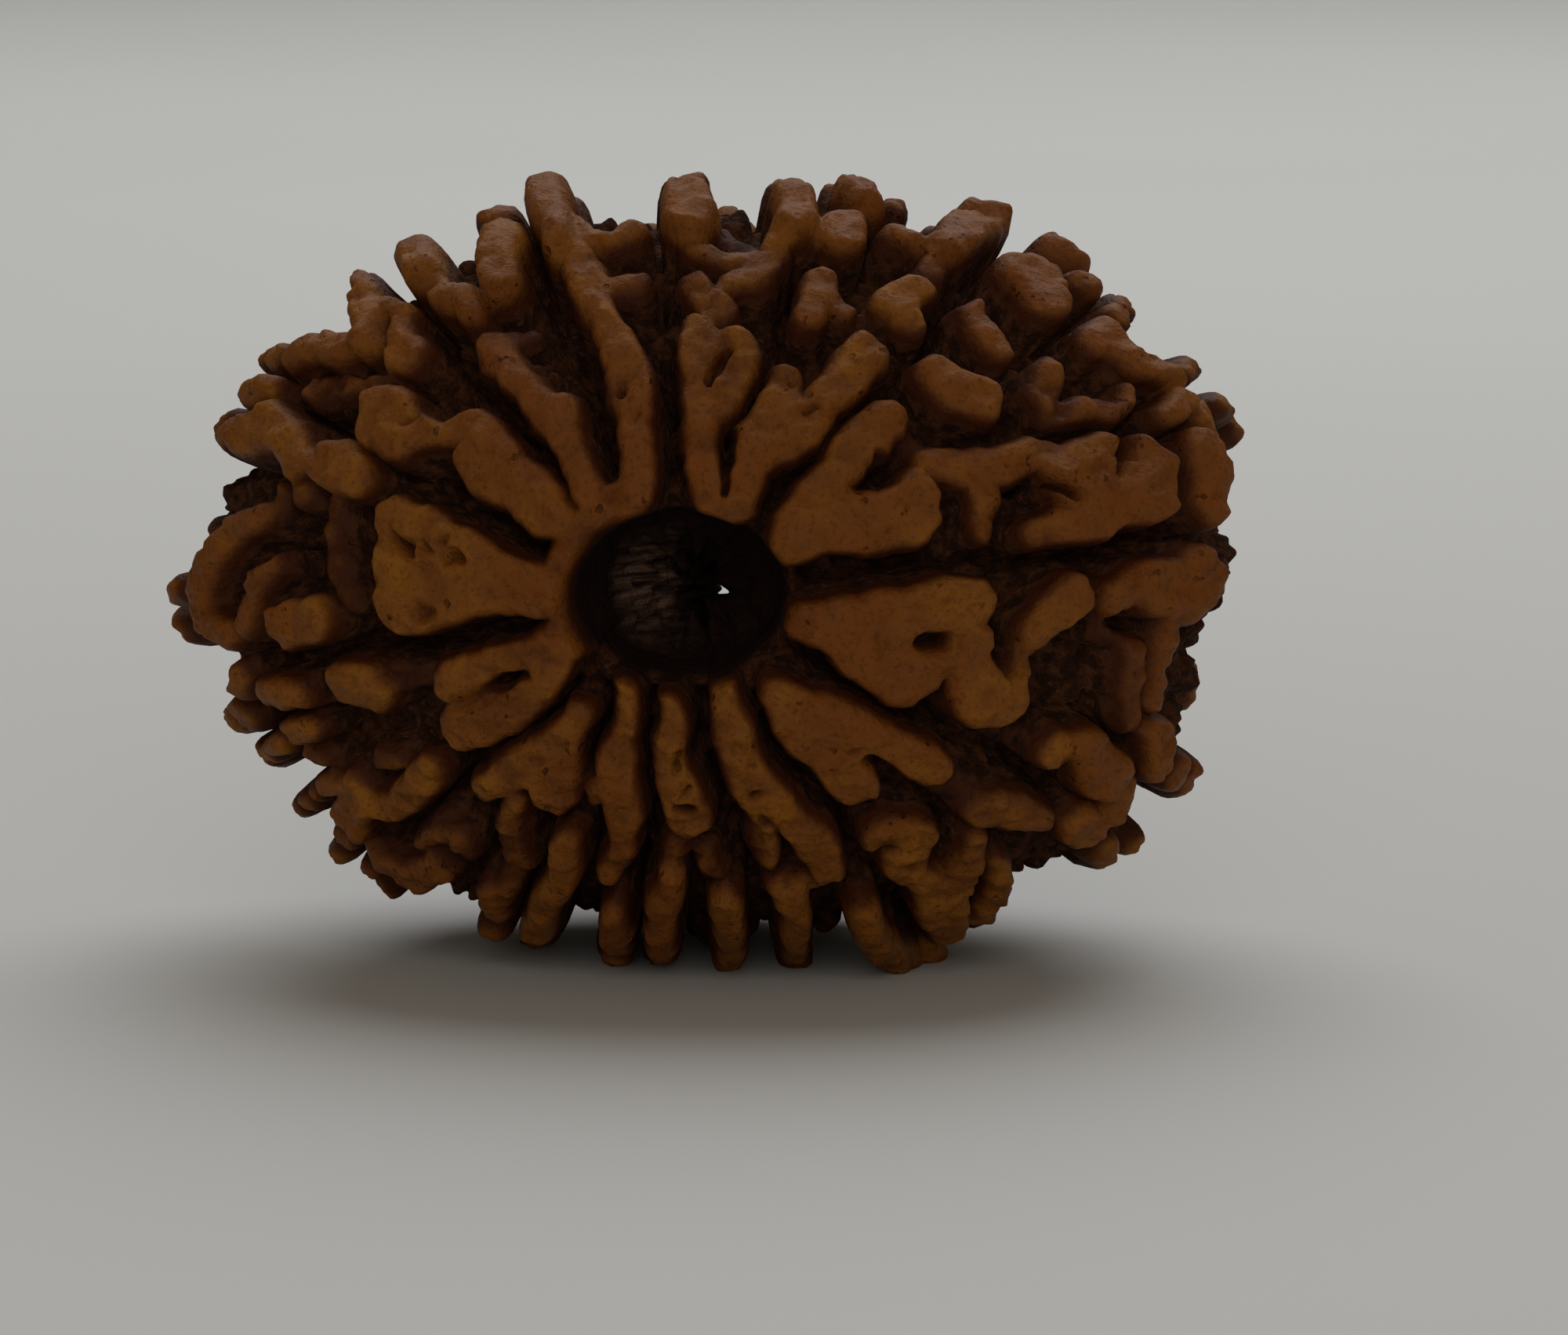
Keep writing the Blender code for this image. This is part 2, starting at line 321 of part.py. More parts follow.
def shell_points(colatitude, longitude, sunk):
    """Points of the smooth oval body, this far under the crests. Colatitude 0 is the near pole."""
    sine = np.sin(colatitude)
    near = np.cos(colatitude) > 0.0
    away = smoothstep(0.10, 0.55, sine)
    swell = -sunk
    for bearing, spread, stands_out in SWELLS:
        turned = np.angle(np.exp(1j * (longitude - math.radians(bearing))))
        swell = swell + stands_out * np.exp(-((turned / math.radians(spread)) ** 2))
    side = MOUTH_OVAL[0] + (WIDTH / 2 - MOUTH_OVAL[0] + swell) * away
    rise = MOUTH_OVAL[1] + (HEIGHT / 2 - MOUTH_OVAL[1] + swell) * away
    shift_x = np.where(near, NEAR_MOUTH_SHIFT[0], FAR_MOUTH_SHIFT[0]) * (1.0 - away)
    shift_z = np.where(near, NEAR_MOUTH_SHIFT[1], FAR_MOUTH_SHIFT[1]) * (1.0 - away)
    x = side * sine * np.cos(longitude) + shift_x
    y = -(THICKNESS / 2 - sunk) * np.cos(colatitude)
    z = rise * sine * np.sin(longitude) + shift_z
    return np.stack([x, y, z], axis=-1)


def mouth_edge(turn, near):
    """The rim of a mouth, at the foot of its funnel."""
    sine = NEAR_MOUTH_SINE if near else FAR_MOUTH_SINE
    colatitude = math.asin(sine) if near else math.pi - math.asin(sine)
    edge = shell_points(np.full_like(turn, colatitude), turn, RELIEF)
    edge[..., 1] += FUNNEL_DEPTH if near else -FUNNEL_DEPTH
    return edge


def bore_points(turn, share):
    """Points of the bore's wall, this share of the way from the near mouth to the far one."""
    near_edge, far_edge = mouth_edge(turn, True), mouth_edge(turn, False)
    all_round = np.linspace(0.0, 2.0 * math.pi, 361)[:-1]
    near_middle = mouth_edge(all_round, True).mean(axis=0)
    far_middle = mouth_edge(all_round, False).mean(axis=0)
    along = share[:, None]
    line = near_edge + (far_edge - near_edge) * along
    middle = near_middle + (far_middle - near_middle) * along
    out = line - middle
    reach = np.hypot(out[:, 0], out[:, 2])
    narrow = smoothstep(0.0, THROAT_RUN[0], share) * smoothstep(1.0, THROAT_RUN[1], share)
    wall = middle + out * ((reach + (THROAT_RADIUS - reach) * narrow) / reach)[:, None]
    wall[:, 0] += THROAT_SHIFT[0] * narrow
    wall[:, 1] = line[:, 1]
    wall[:, 2] += THROAT_SHIFT[1] * narrow
    return wall


def body_points(turn, section):
    """Lays the points of a ring on the bead.

    turn is the bearing round the bore, and section runs from -pi to pi: out of the bore at the
    far mouth, over the far face, the side and the near face, and into the bore again. Gives each
    point's place in the valleys, its place on the crests, the way that a ridge rises there, and
    the share of its height that a ridge keeps.
    """
    edge = math.pi * (1.0 - BORE_SHARE)
    start = math.asin(NEAR_MOUTH_SINE)
    end = math.pi - math.asin(FAR_MOUTH_SINE)
    colatitude = start + (end - start) * (1.0 - np.clip(section / edge, -1.0, 1.0)) / 2
    crest = shell_points(colatitude, turn, 0.0)
    valley = shell_points(colatitude, turn, RELIEF)
    rise = (crest - valley) / RELIEF
    sine = np.sin(colatitude)
    near = np.cos(colatitude) > 0.0
    rim = np.where(near, NEAR_MOUTH_SINE, FAR_MOUTH_SINE)
    spread = np.clip(1.0 - (sine - rim) / FUNNEL_REACH, 0.0, 1.0)
    valley[:, 1] += np.where(near, 1.0, -1.0) * FUNNEL_DEPTH * spread**2
    keep = 1.0 - 0.75 * smoothstep(0.35, 1.0, spread)

    inside = np.abs(section) > edge
    deep = (np.abs(section[inside]) - edge) / (math.pi - edge) / 2
    share = np.where(section[inside] > 0.0, deep, 1.0 - deep)
    wall_turn = turn[inside]
    valley[inside] = bore_points(wall_turn, share)
    rise[inside] = -np.stack([np.cos(wall_turn), 0 * wall_turn, np.sin(wall_turn)], axis=-1)
    keep[inside] = 0.25 * np.exp(-deep / 0.10)
    return valley, crest, rise, keep


class NearFace:
    """The crests as they are seen from the eye, so that a ridge can be drawn on them."""

    def __init__(self):
        rows, steps = 90, 180
        colatitude = np.repeat(np.linspace(0.02, math.pi - 0.02, rows), steps)
        turn = np.tile(np.arange(steps) * 2.0 * math.pi / steps, rows)
        points = shell_points(colatitude, turn, 0.0)
        row, step = (i.ravel() for i in np.meshgrid(range(rows - 1), range(steps), indexing="ij"))
        here, after = row * steps + step, row * steps + (step + 1) % steps
        faces = np.stack([here, after, after + steps, here + steps], axis=-1)
        self.tree = BVHTree.FromPolygons(points.tolist(), faces.tolist())
        self.away = Vector(
            (
                math.sin(EYE_TURN) * math.cos(EYE_LIFT),
                -math.cos(EYE_TURN) * math.cos(EYE_LIFT),
                math.sin(EYE_LIFT),
            )
        )
        self.right = Vector((math.cos(EYE_TURN), math.sin(EYE_TURN), 0.0))
        self.up = self.away.cross(self.right)
        self.eye = self.away * EYE_DISTANCE

    def point(self, right, up):
        """The crest point seen this far right of and above the mouth's middle."""
        across = right - OUTLINE_MIDDLE[0]
        above = up - OUTLINE_MIDDLE[1]
        target = self.right * across + self.up * above
        place = self.tree.ray_cast(self.eye, target - self.eye)[0]
        return place or self.tree.find_nearest(target)[0]

    def stroke(self, marks):
        return [(*self.point(right, up), half) for right, up, half in marks]

    def further(self, mark, length):
        """The crest point this much further round from the eye."""
        place = Vector(mark[:3])
        normal = self.tree.find_nearest(place)[1]
        back = (normal * normal.dot(self.away) - self.away).normalized()
        return self.tree.find_nearest(place + back * length)[0]


def stroke_depth(points, stroke):
    """How far each point lies inside a stroke's edge. Outside it is negative."""
    depth = np.full(len(points), -1e3)
    marks = np.array(stroke)
    for start, end in zip(marks[:-1], marks[1:]):
        run = end[:3] - start[:3]
        along = np.clip((points - start[:3]) @ run / max(run @ run, 1e-9), 0.0, 1.0)
        gap = np.linalg.norm(points - start[:3] - along[:, None] * run, axis=1)
        depth = np.maximum(depth, start[3] + (end[3] - start[3]) * along - gap)
    return depth


def near_stroke(points, stroke):
    marks = np.array(stroke)
    reach = marks[:, 3].max() + 2 * SKIRT + WELD
    low = marks[:, :3].min(axis=0) - reach
    high = marks[:, :3].max(axis=0) + reach
    return np.flatnonzero(((points > low) & (points < high)).all(axis=1))


def raise_ridge(height, points, top, stroke):
    """Adds one ridge to the heights, welded into what is there already."""
    close = near_stroke(points, stroke)
    depth = stroke_depth(points[close], stroke)
    t = np.clip((depth + SKIRT) / (SHOULDER + SKIRT), 0.0, 1.0)
    new = top * (1.0 - (1.0 - t) ** STEEPNESS) ** (1 / STEEPNESS)
    old = height[close]
    blend = np.maximum(WELD - np.abs(new - old), 0.0) / WELD
    joined = np.maximum(new, old) + blend * blend * WELD * 0.25
    height[close] = np.where(new > 0.0, joined, old)


def sink(height, points, drop, stroke):
    """Takes a pit or a line out of the heights."""
    close = near_stroke(points, stroke)
    depth = stroke_depth(points[close], stroke)
    half = np.array(stroke)[:, 3].max()
    height[close] -= drop * smoothstep(-0.6 * half, 0.9 * half, depth)


def shell_point(colatitude, longitude):
    return shell_points(np.array(colatitude), np.array(longitude), 0.0)


class Growth:
    """The sides and the far face, grown by a rule in bands between the lines of the faces."""

    def __init__(self, face, lines, drawn):
        self.draw = random.Random(GROWTH_SEED)
        self.face = face
        self.drawn = drawn
        self.taken = np.array([mark for stroke in drawn for mark in self.beads(stroke)])
        self.screen = np.array([(*self.seen_at(mark), mark[3]) for mark in self.taken])
        ends = sorted(self.longitude_of(line[-1]) for line in lines)
        self.bands = len(ends)
        self.side = ends + [ends[0] + 2 * math.pi]
        first = ends[0] + 0.15
        self.mouth = [first + 2 * math.pi * i / self.bands for i in range(self.bands + 1)]

    @staticmethod
    def longitude_of(mark):
        return math.atan2(mark[2] / HEIGHT, mark[0] / WIDTH)

    @staticmethod
    def beads(stroke):
        """The stroke as a row of close marks."""
        for start, end in zip(stroke[:-1], stroke[1:]):
            start, end = np.array(start), np.array(end)
            count = 1 + int(np.linalg.norm(end[:3] - start[:3]) / 0.4)
            for i in range(count + 1):
                yield start + (end - start) * i / count

    def facing(self, mark):
        """1 where the surface faces the eye, 0 at the outline, less beyond it."""
        normal = Vector((mark[0] / WIDTH**2, mark[1] / THICKNESS**2, mark[2] / HEIGHT**2))
        return normal.normalized().dot(self.face.away)

    def seen_at(self, mark):
        place = Vector(mark[:3])
        return place.dot(self.face.right), place.dot(self.face.up)

    def behind_a_ridge(self, mark):
        gap = np.hypot(*(self.screen[:, :2] - self.seen_at(mark)).T) - self.screen[:, 2]
        return gap.min() < -0.1

    def hidden(self, stroke):
        return all(
            self.facing(mark) < OUT_OF_SIGHT
            or (self.facing(mark) < NEARLY_HIDDEN and self.behind_a_ridge(mark))
            for mark in stroke
        )

    def claim(self, stroke):
        """Takes the stroke's room if it is free."""
        for mark in self.beads(stroke):
            gap = np.linalg.norm(self.taken[:, :3] - mark[:3], axis=1) - self.taken[:, 3] - mark[3]
            if gap.min() < KNOB_GAP:
                return False
        self.take(stroke)
        return True

    def take(self, stroke):
        self.taken = np.concatenate([self.taken, list(self.beads(stroke))])

    def longitude(self, edge, colatitude):
        t = float(smoothstep(math.radians(95), math.radians(160), colatitude))
        return self.side[edge] + (self.mouth[edge] - self.side[edge]) * t

    def place(self, band, across, degrees):
        """A crest point in a band: across runs from -1 to 1 between its lines."""
        colatitude = math.radians(degrees)
        low = self.longitude(band, colatitude)
        high = self.longitude(band + 1, colatitude)
        return shell_point(colatitude, low + (high - low) * (across + 1) / 2)

    def half_width(self, band, degrees):
        span = self.place(band, 1, degrees) - self.place(band, -1, degrees)
        return float(np.linalg.norm(span)) / 2

    def lines(self):
        """The face lines carried on from the outline to the far mouth."""
        for edge in range(self.bands):
            marks = []
            for degrees in range(84, 172, 4):
                colatitude = math.radians(degrees)
                marks.append((*shell_point(colatitude, self.longitude(edge, colatitude)), 0.24))
            yield [mark for mark in marks if self.facing(mark) < 0.0]

    def over_the_edge(self):
        """Knobs in file behind the ridges that end at the outline."""
        draw = self.draw
        for stroke in self.drawn:
            mark = min(stroke, key=self.facing)
            widest = max(mark[3], 0.38) * 1.1
            half = widest
            while OUT_OF_SIGHT < self.facing(mark) < OVER_THE_EDGE:
                start = self.face.further(mark, half * 2 + draw.uniform(0.05, 0.4))
                end = self.face.further(start, draw.uniform(0.1, 0.8))
                half = widest * draw.uniform(0.8, 1.0)
                knob = [(*start, half), (*end, half * draw.uniform(0.75, 1.0))]
                if self.claim(knob):
                    yield draw.uniform(1.4, 1.6), knob
                mark = (*end, half)

    def lobe(self, band):
        """The lobe that starts at the far mouth: a fork, a plate with two corners or a long ridge."""
        draw = self.draw
        form = draw.choice(("fork", "fork", "plate", "ridge"))
        lean = draw.uniform(-0.15, 0.15)

        def mark(across, degrees, share):
            degrees += draw.uniform(-1.2, 1.2)
            half = (self.half_width(band, degrees) - 0.14) * share
            return (*self.place(band, across, degrees), max(half, 0.22))

        if form == "fork":
            yield 1.5, [mark(0.0, 166, 0.9), mark(lean, 157, 0.85), mark(lean, 150, 0.80)]
            for side in (-1, 1):
                tip = draw.uniform(134, 141)
                arm = [mark(0.40 * side, 150, 0.42), mark(0.48 * side, 145, 0.36)]
                yield draw.uniform(1.4, 1.6), arm + [mark(0.55 * side, tip, 0.34)]
        elif form == "plate":
            end = draw.uniform(141, 146)
            yield 1.6, [mark(0.0, 166, 0.95), mark(lean, 156, 0.92), mark(lean, end + 3, 0.86)]
            for side in (-1, 1):
                corner = [mark(0.42 * side, end + 3, 0.48), mark(0.52 * side, end - 1, 0.42)]
                yield draw.uniform(1.5, 1.6), corner
        else:
            yield 1.5, [
                mark(0.0, 166, 0.85),
                mark(-lean, 156, 0.70),
                mark(lean * 2, 148, 0.55),
                mark(-lean * 2, 140, 0.50),
                mark(lean, 133, 0.42),
            ]
            side = 1 if lean < 0 else -1
            yield 1.4, [mark(0.2 * side, 147, 0.35), mark(0.66 * side, 142, 0.30)]

    def knobs(self, band):
        """Rows of knobs and short ridges from the lobe to the outline, some tied to the last row."""
        draw = self.draw
        above = []
        for degrees in ROW_COLATITUDES:
            room = self.half_width(band, degrees) - 0.2
            count = max(1, round(2 * room / KNOB_SPACING))
            here = []
            for slot in range(count * TRIES):
                i = slot % count
                across = ((2 * i + 1) / count - 1) * room / (room + 0.2)
                across += draw.uniform(-0.5, 0.5) / count
                middle = degrees + draw.uniform(-4.5, 4.5)
                reach = draw.choice((0.4, 1.5, 3.0, 4.5))
                slant = draw.uniform(-0.6, 0.6) / count
                wide = min(max((room / count - 0.1) * draw.uniform(0.75, 1.1), 0.38), 0.74)
                start = (*self.place(band, across - slant, middle + reach), wide)
                end = (*self.place(band, across + slant, middle - reach), wide * draw.uniform(0.75, 1.0))
                stroke = [start, end]
                if not (self.hidden(stroke) and self.claim(stroke)):
                    continue
                yield draw.uniform(1.5, 1.95), stroke
                here.append((start, end))
                for other in above:
                    if math.dist(start[:3], other[:3]) < 2.3 and draw.random() < 0.5:
                        yield draw.uniform(0.9, 1.3), [(*other[:3], 0.3), (*start[:3], 0.3)]
            above = [end for start, end in here]

    def small_knobs(self):
        """Small knobs wherever there is still room."""
        draw = self.draw
        for _ in range(SMALL_KNOBS):
            band = draw.randrange(self.bands)
            middle = draw.uniform(66.0, 140.0)
            across = draw.uniform(-0.75, 0.75)
            start = (*self.place(band, across, middle), 0.36)
            end = (*self.place(band, across + draw.uniform(-0.1, 0.1), middle + draw.uniform(0.5, 3.0)), 0.34)
            if self.facing(start) > NEARLY_HIDDEN or not self.claim([start, end]):
                continue
            yield draw.uniform(1.2, 1.7) if self.hidden([start, end]) else LOW_KNOB, [start, end]

    def ridges(self):
        yield from self.over_the_edge()
        for band in range(self.bands):
            for top, stroke in self.lobe(band):
                self.take(stroke)
                yield top, stroke
        for band in range(self.bands):
            yield from self.knobs(band)
        yield from self.small_knobs()


def relief(crest):
    """The height of the surface over the valleys at each crest point."""
    face = NearFace()
    lines = [face.stroke([(*mark, 0.24) for mark in line]) for line in FACE_LINES]
    drawn = [
        (top, face.stroke([(right, up, half + FULLER) for right, up, half in marks]))
        for group in FACE_RIDGES.values()
        for top, marks in group
    ]
    growth = Growth(face, lines, [stroke for top, stroke in drawn])
    sway = np.stack([ripple(crest, 1.9, seed) for seed in (1, 2, 3)], axis=-1)
    sway += 0.5 * np.stack([ripple(crest, 0.8, seed) for seed in (11, 12, 13)], axis=-1)
    points = crest + 0.08 * sway
    height = 0.10 * ripple(crest, 1.3, 4)
    for line in (*lines, *growth.lines()):
        sink(height, points, 0.55, line)
    for top, stroke in (*drawn, *growth.ridges()):
        raise_ridge(height, points, top * RELIEF / FULL_HEIGHT, stroke)
    for drop, marks in FACE_PITS:
        sink(height, points, drop, face.stroke(marks))
    return height + 0.05 * ripple(crest, 2.6, 5)


# The mesh: a fine ring laid on the bead, then thinned to this many triangles
RING = (220, 172)  # steps round the bore, and round the section
TRIANGLES = 11400


def finish_material():
    material = bpy.data.materials.new("dry brown stone")
    material.use_nodes = True
    shader = material.node_tree.nodes["Principled BSDF"]
    shader.inputs["Base Color"].default_value = (0.23, 0.09, 0.025, 1.0)
    shader.inputs["Roughness"].default_value = 0.6
    shader.inputs["Metallic"].default_value = 0.0
    return material


def apply_modifier(bead):
    """Puts what the bead's one modifier makes in place of its mesh."""
    depsgraph = bpy.context.evaluated_depsgraph_get()
    bead.data = bpy.data.meshes.new_from_object(bead.evaluated_get(depsgraph))
    bead.modifiers.clear()


def fine_ring():
    """A ring of fine squares, whose points have two bearings: round the bore and round its section."""
    bpy.ops.mesh.primitive_torus_add(
        major_segments=RING[0], minor_segments=RING[1], major_radius=1.0, minor_radius=0.4
    )
    ring = bpy.context.object
    modifier = ring.modifiers.new("finer", "SUBSURF")
    modifier.subdivision_type = "SIMPLE"
    modifier.levels = modifier.render_levels = 1
    apply_modifier(ring)
    return ring


def lay_on_bead(ring):
    points = np.empty(3 * len(ring.data.vertices))
    ring.data.vertices.foreach_get("co", points)
    x, y, z = points.reshape(-1, 3).T
    valley, crest, rise, keep = body_points(np.arctan2(y, x), np.arctan2(z, np.hypot(x, y) - 1.0))
    places = valley + rise * (relief(crest) * keep)[:, None]
    places += (-BOX_MIDDLE[0], -BOX_MIDDLE[1], FOOT_DROP)
    ring.data.vertices.foreach_set("co", (places * MM).ravel())
    ring.data.update()


def thin(bead):
    """Thins the mesh to its triangle count, most where the surface is plain."""
    modifier = bead.modifiers.new("thin", "DECIMATE")
    modifier.ratio = TRIANGLES / (2 * len(bead.data.polygons))
    apply_modifier(bead)


def wear_feet(bead):
    """Wears the lowest knobs flat where they meet the table."""
    bpy.ops.mesh.primitive_cube_add(size=0.1, location=(0.0, 0.0, -0.05))
    table = bpy.context.object
    modifier = bead.modifiers.new("worn", "BOOLEAN")
    modifier.operation = "DIFFERENCE"
    modifier.solver = "EXACT"
    modifier.object = table
    apply_modifier(bead)
    bpy.data.objects.remove(table)


def build_bead():
    bead = fine_ring()
    bead.name = "bead"
    lay_on_bead(bead)
    thin(bead)
    wear_feet(bead)
    bead.data.materials.clear()
    bead.data.materials.append(finish_material())
    bead.data.shade_smooth()
    return bead


for stale in list(bpy.data.objects):
    bpy.data.objects.remove(stale)

build_bead()
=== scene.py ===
"""A fourteen-faced rudraksha bead on a pale table, dressed for the camera.

Frame: +X to the right across the near face, +Y away along the bore, +Z up, with the origin under
the middle of the bead on the table. Lengths are in millimetres until they are given to Blender.
"""

import math
import random

import bpy
import numpy as np
from mathutils import Matrix, Vector
from mathutils.bvhtree import BVHTree


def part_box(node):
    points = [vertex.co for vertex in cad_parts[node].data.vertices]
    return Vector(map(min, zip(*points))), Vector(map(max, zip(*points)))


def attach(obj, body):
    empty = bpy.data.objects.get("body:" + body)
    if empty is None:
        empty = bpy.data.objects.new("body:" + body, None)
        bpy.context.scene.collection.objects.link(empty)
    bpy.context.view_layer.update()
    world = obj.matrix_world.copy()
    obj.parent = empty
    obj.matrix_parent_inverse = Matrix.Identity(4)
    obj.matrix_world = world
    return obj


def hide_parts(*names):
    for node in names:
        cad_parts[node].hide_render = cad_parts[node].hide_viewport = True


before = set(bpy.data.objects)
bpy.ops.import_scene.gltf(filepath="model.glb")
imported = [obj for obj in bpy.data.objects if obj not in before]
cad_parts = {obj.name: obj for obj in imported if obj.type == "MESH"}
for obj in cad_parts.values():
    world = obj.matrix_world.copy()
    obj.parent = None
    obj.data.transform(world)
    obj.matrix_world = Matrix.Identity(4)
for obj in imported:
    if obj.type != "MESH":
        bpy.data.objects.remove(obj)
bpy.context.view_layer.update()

# The stone of the bead: the hard stone of a fruit, dried, brushed and oiled, with some pulp left in
# its valleys. It grew as one piece, with fourteen faces of lobes and knobs round a bore. The near
# face is drawn ridge by ridge, and the sides and the far face grow by a rule.

# Sizes
MM = 0.001  # a millimetre in Blender's metres
WIDTH = 27.4  # over the crests, side to side
HEIGHT = 20.6  # over the crests, before the feet are worn flat
THICKNESS = 18.6  # over the crests, along the bore
RELIEF = 1.6  # from the valleys to the crests
FOOT_DROP = 9.8  # from the middle of the oval down to the worn feet
BOX_MIDDLE = (-0.179, 0.042)  # where the middle of the bead's box lies, from the middle of the oval

# The outline isn't a true oval: bearings round it in degrees from the right, how far each swell
# spreads, and how far it stands out, or with a minus how far it lies back
SWELLS = [
    (18.0, 30.0, 0.85),
    (108.0, 42.0, -0.15),
    (184.0, 14.0, 0.35),
    (208.0, 15.0, -0.40),
    (238.0, 14.0, 0.32),
    (-38.0, 28.0, 0.60),
    (-14.0, 11.0, -0.40),
]

# The bore: a wide mouth on the near face, a narrow throat, a smaller mouth on the far face
MOUTH_OVAL = (11.6, 9.7)  # side and height radii that shape the rows round a mouth
OWN_OUTLINE = (0.10, 0.55)  # the sines between which that oval gives way to the bead's outline
NEAR_MOUTH_SINE = 0.20  # how far out the near mouth's edge lies, as the sine of its colatitude
FAR_MOUTH_SINE = 0.125
NEAR_MOUTH_SHIFT = (0.0, 0.60)  # the mouths lie a little off the middle of the body
FAR_MOUTH_SHIFT = (1.0, -1.4)
FUNNEL_DEPTH = 1.3
FUNNEL_REACH = 0.05  # how far the funnel spreads from the mouth's edge, as a sine
THROAT_RADIUS = 1.05
THROAT_RUN = (0.22, 0.80)  # where the bore is that narrow, as shares of the way through
THROAT_SHIFT = (-0.30, 0.10)  # how far the throat lies beside the line between the mouths
BORE_SHARE = 0.13  # the share of the section, from face to face and back, that is bore
KEPT_AT_MOUTH = 0.25  # the share of its height that a ridge keeps at a mouth's edge
FADE = 0.10  # the share of the way down the bore over which that fades

# Where the near face is seen from as its ridges are drawn, and the middle of the outline
EYE_TURN = math.radians(5.7)
EYE_LIFT = math.radians(8.0)
EYE_DISTANCE = 180.0
OUTLINE_MIDDLE = (0.9, 0.7)  # right of and above the middle of the mouth

# How a ridge is rounded
FULL_HEIGHT = 1.6  # the height that reaches the crests, as heights are given below
FULLER = 0.04  # how much further than drawn a ridge of the near face swells to each side
SHOULDER = 0.34  # from a ridge's edge in to its flat top
SKIRT = 0.14  # from a ridge's edge out to its foot
STEEPNESS = 3.0  # 2 rounds a ridge like a pipe, and more gives it steep sides and a flat top
WELD = 0.24  # fillet where one ridge runs into another
SWAY = 0.08  # how far the edge of a ridge strays from a smooth one
SWAY_LENGTHS = (1.9, 0.8)  # from bend to bend of an edge, and from small bend to small bend
VALLEY_WAVES = (0.10, 1.3)  # height, and length from wave to wave
SLOW_WAVES = (0.05, 2.6)  # the same for the waves that run under ridges and valleys alike

# The lines between the faces, from the mouth to the outline: right and up from the mouth
LINE_HALF = 0.24  # half their width
LINE_DEPTH = 0.55  # sunk into the valleys
FACE_LINES = [
    [(-0.2, 2.0), (-0.3, 3.5), (-0.4, 5.0), (-0.5, 7.0), (-0.6, 9.0)],
    [(1.3, 3.0), (1.4, 4.2), (2.0, 5.4), (2.5, 6.6), (2.8, 7.7), (3.5, 9.2), (3.8, 10.0)],
    [(2.6, 2.9), (4.0, 4.1), (5.2, 5.3), (5.9, 6.2), (6.7, 7.0), (7.2, 7.9), (8.7, 8.9)],
    [(3.2, 0.5), (5.0, 0.75), (7.5, 1.1), (9.5, 1.0), (11.3, 1.3), (13.3, 2.0)],
    [(3.0, -1.4), (5.0, -2.8), (7.0, -3.6), (8.4, -4.5), (10.0, -5.2), (11.4, -5.6)],
    [(2.4, -3.5), (3.3, -4.9), (4.3, -6.4), (4.6, -7.4), (4.4, -8.0)],
    [(0.4, -2.8), (0.9, -4.5), (1.5, -6.2), (2.0, -7.4), (2.2, -8.2)],
    [(-0.8, -2.8), (-0.85, -4.5), (-0.9, -6.0), (-1.0, -7.2), (-1.0, -8.6)],
    [(-2.0, -2.8), (-2.2, -4.0), (-2.7, -5.6), (-2.4, -6.6), (-2.4, -7.8)],
    [(-2.9, -2.3), (-4.0, -3.6), (-5.6, -4.7), (-6.6, -5.8), (-7.6, -6.4)],
    [(-3.5, -0.85), (-5.0, -1.05), (-7.0, -1.3), (-9.0, -1.4), (-11.3, -1.45)],
    [(-3.5, 1.2), (-5.0, 2.2), (-6.5, 3.1), (-8.0, 4.0), (-9.2, 4.8), (-10.2, 5.3)],
    [(-2.8, 2.7), (-3.5, 3.9), (-4.8, 5.2), (-5.7, 6.2), (-6.2, 7.0), (-6.9, 7.7)],
    [(-1.6, 3.4), (-2.2, 4.7), (-2.6, 6.0), (-3.1, 7.3), (-3.7, 8.8)],
]

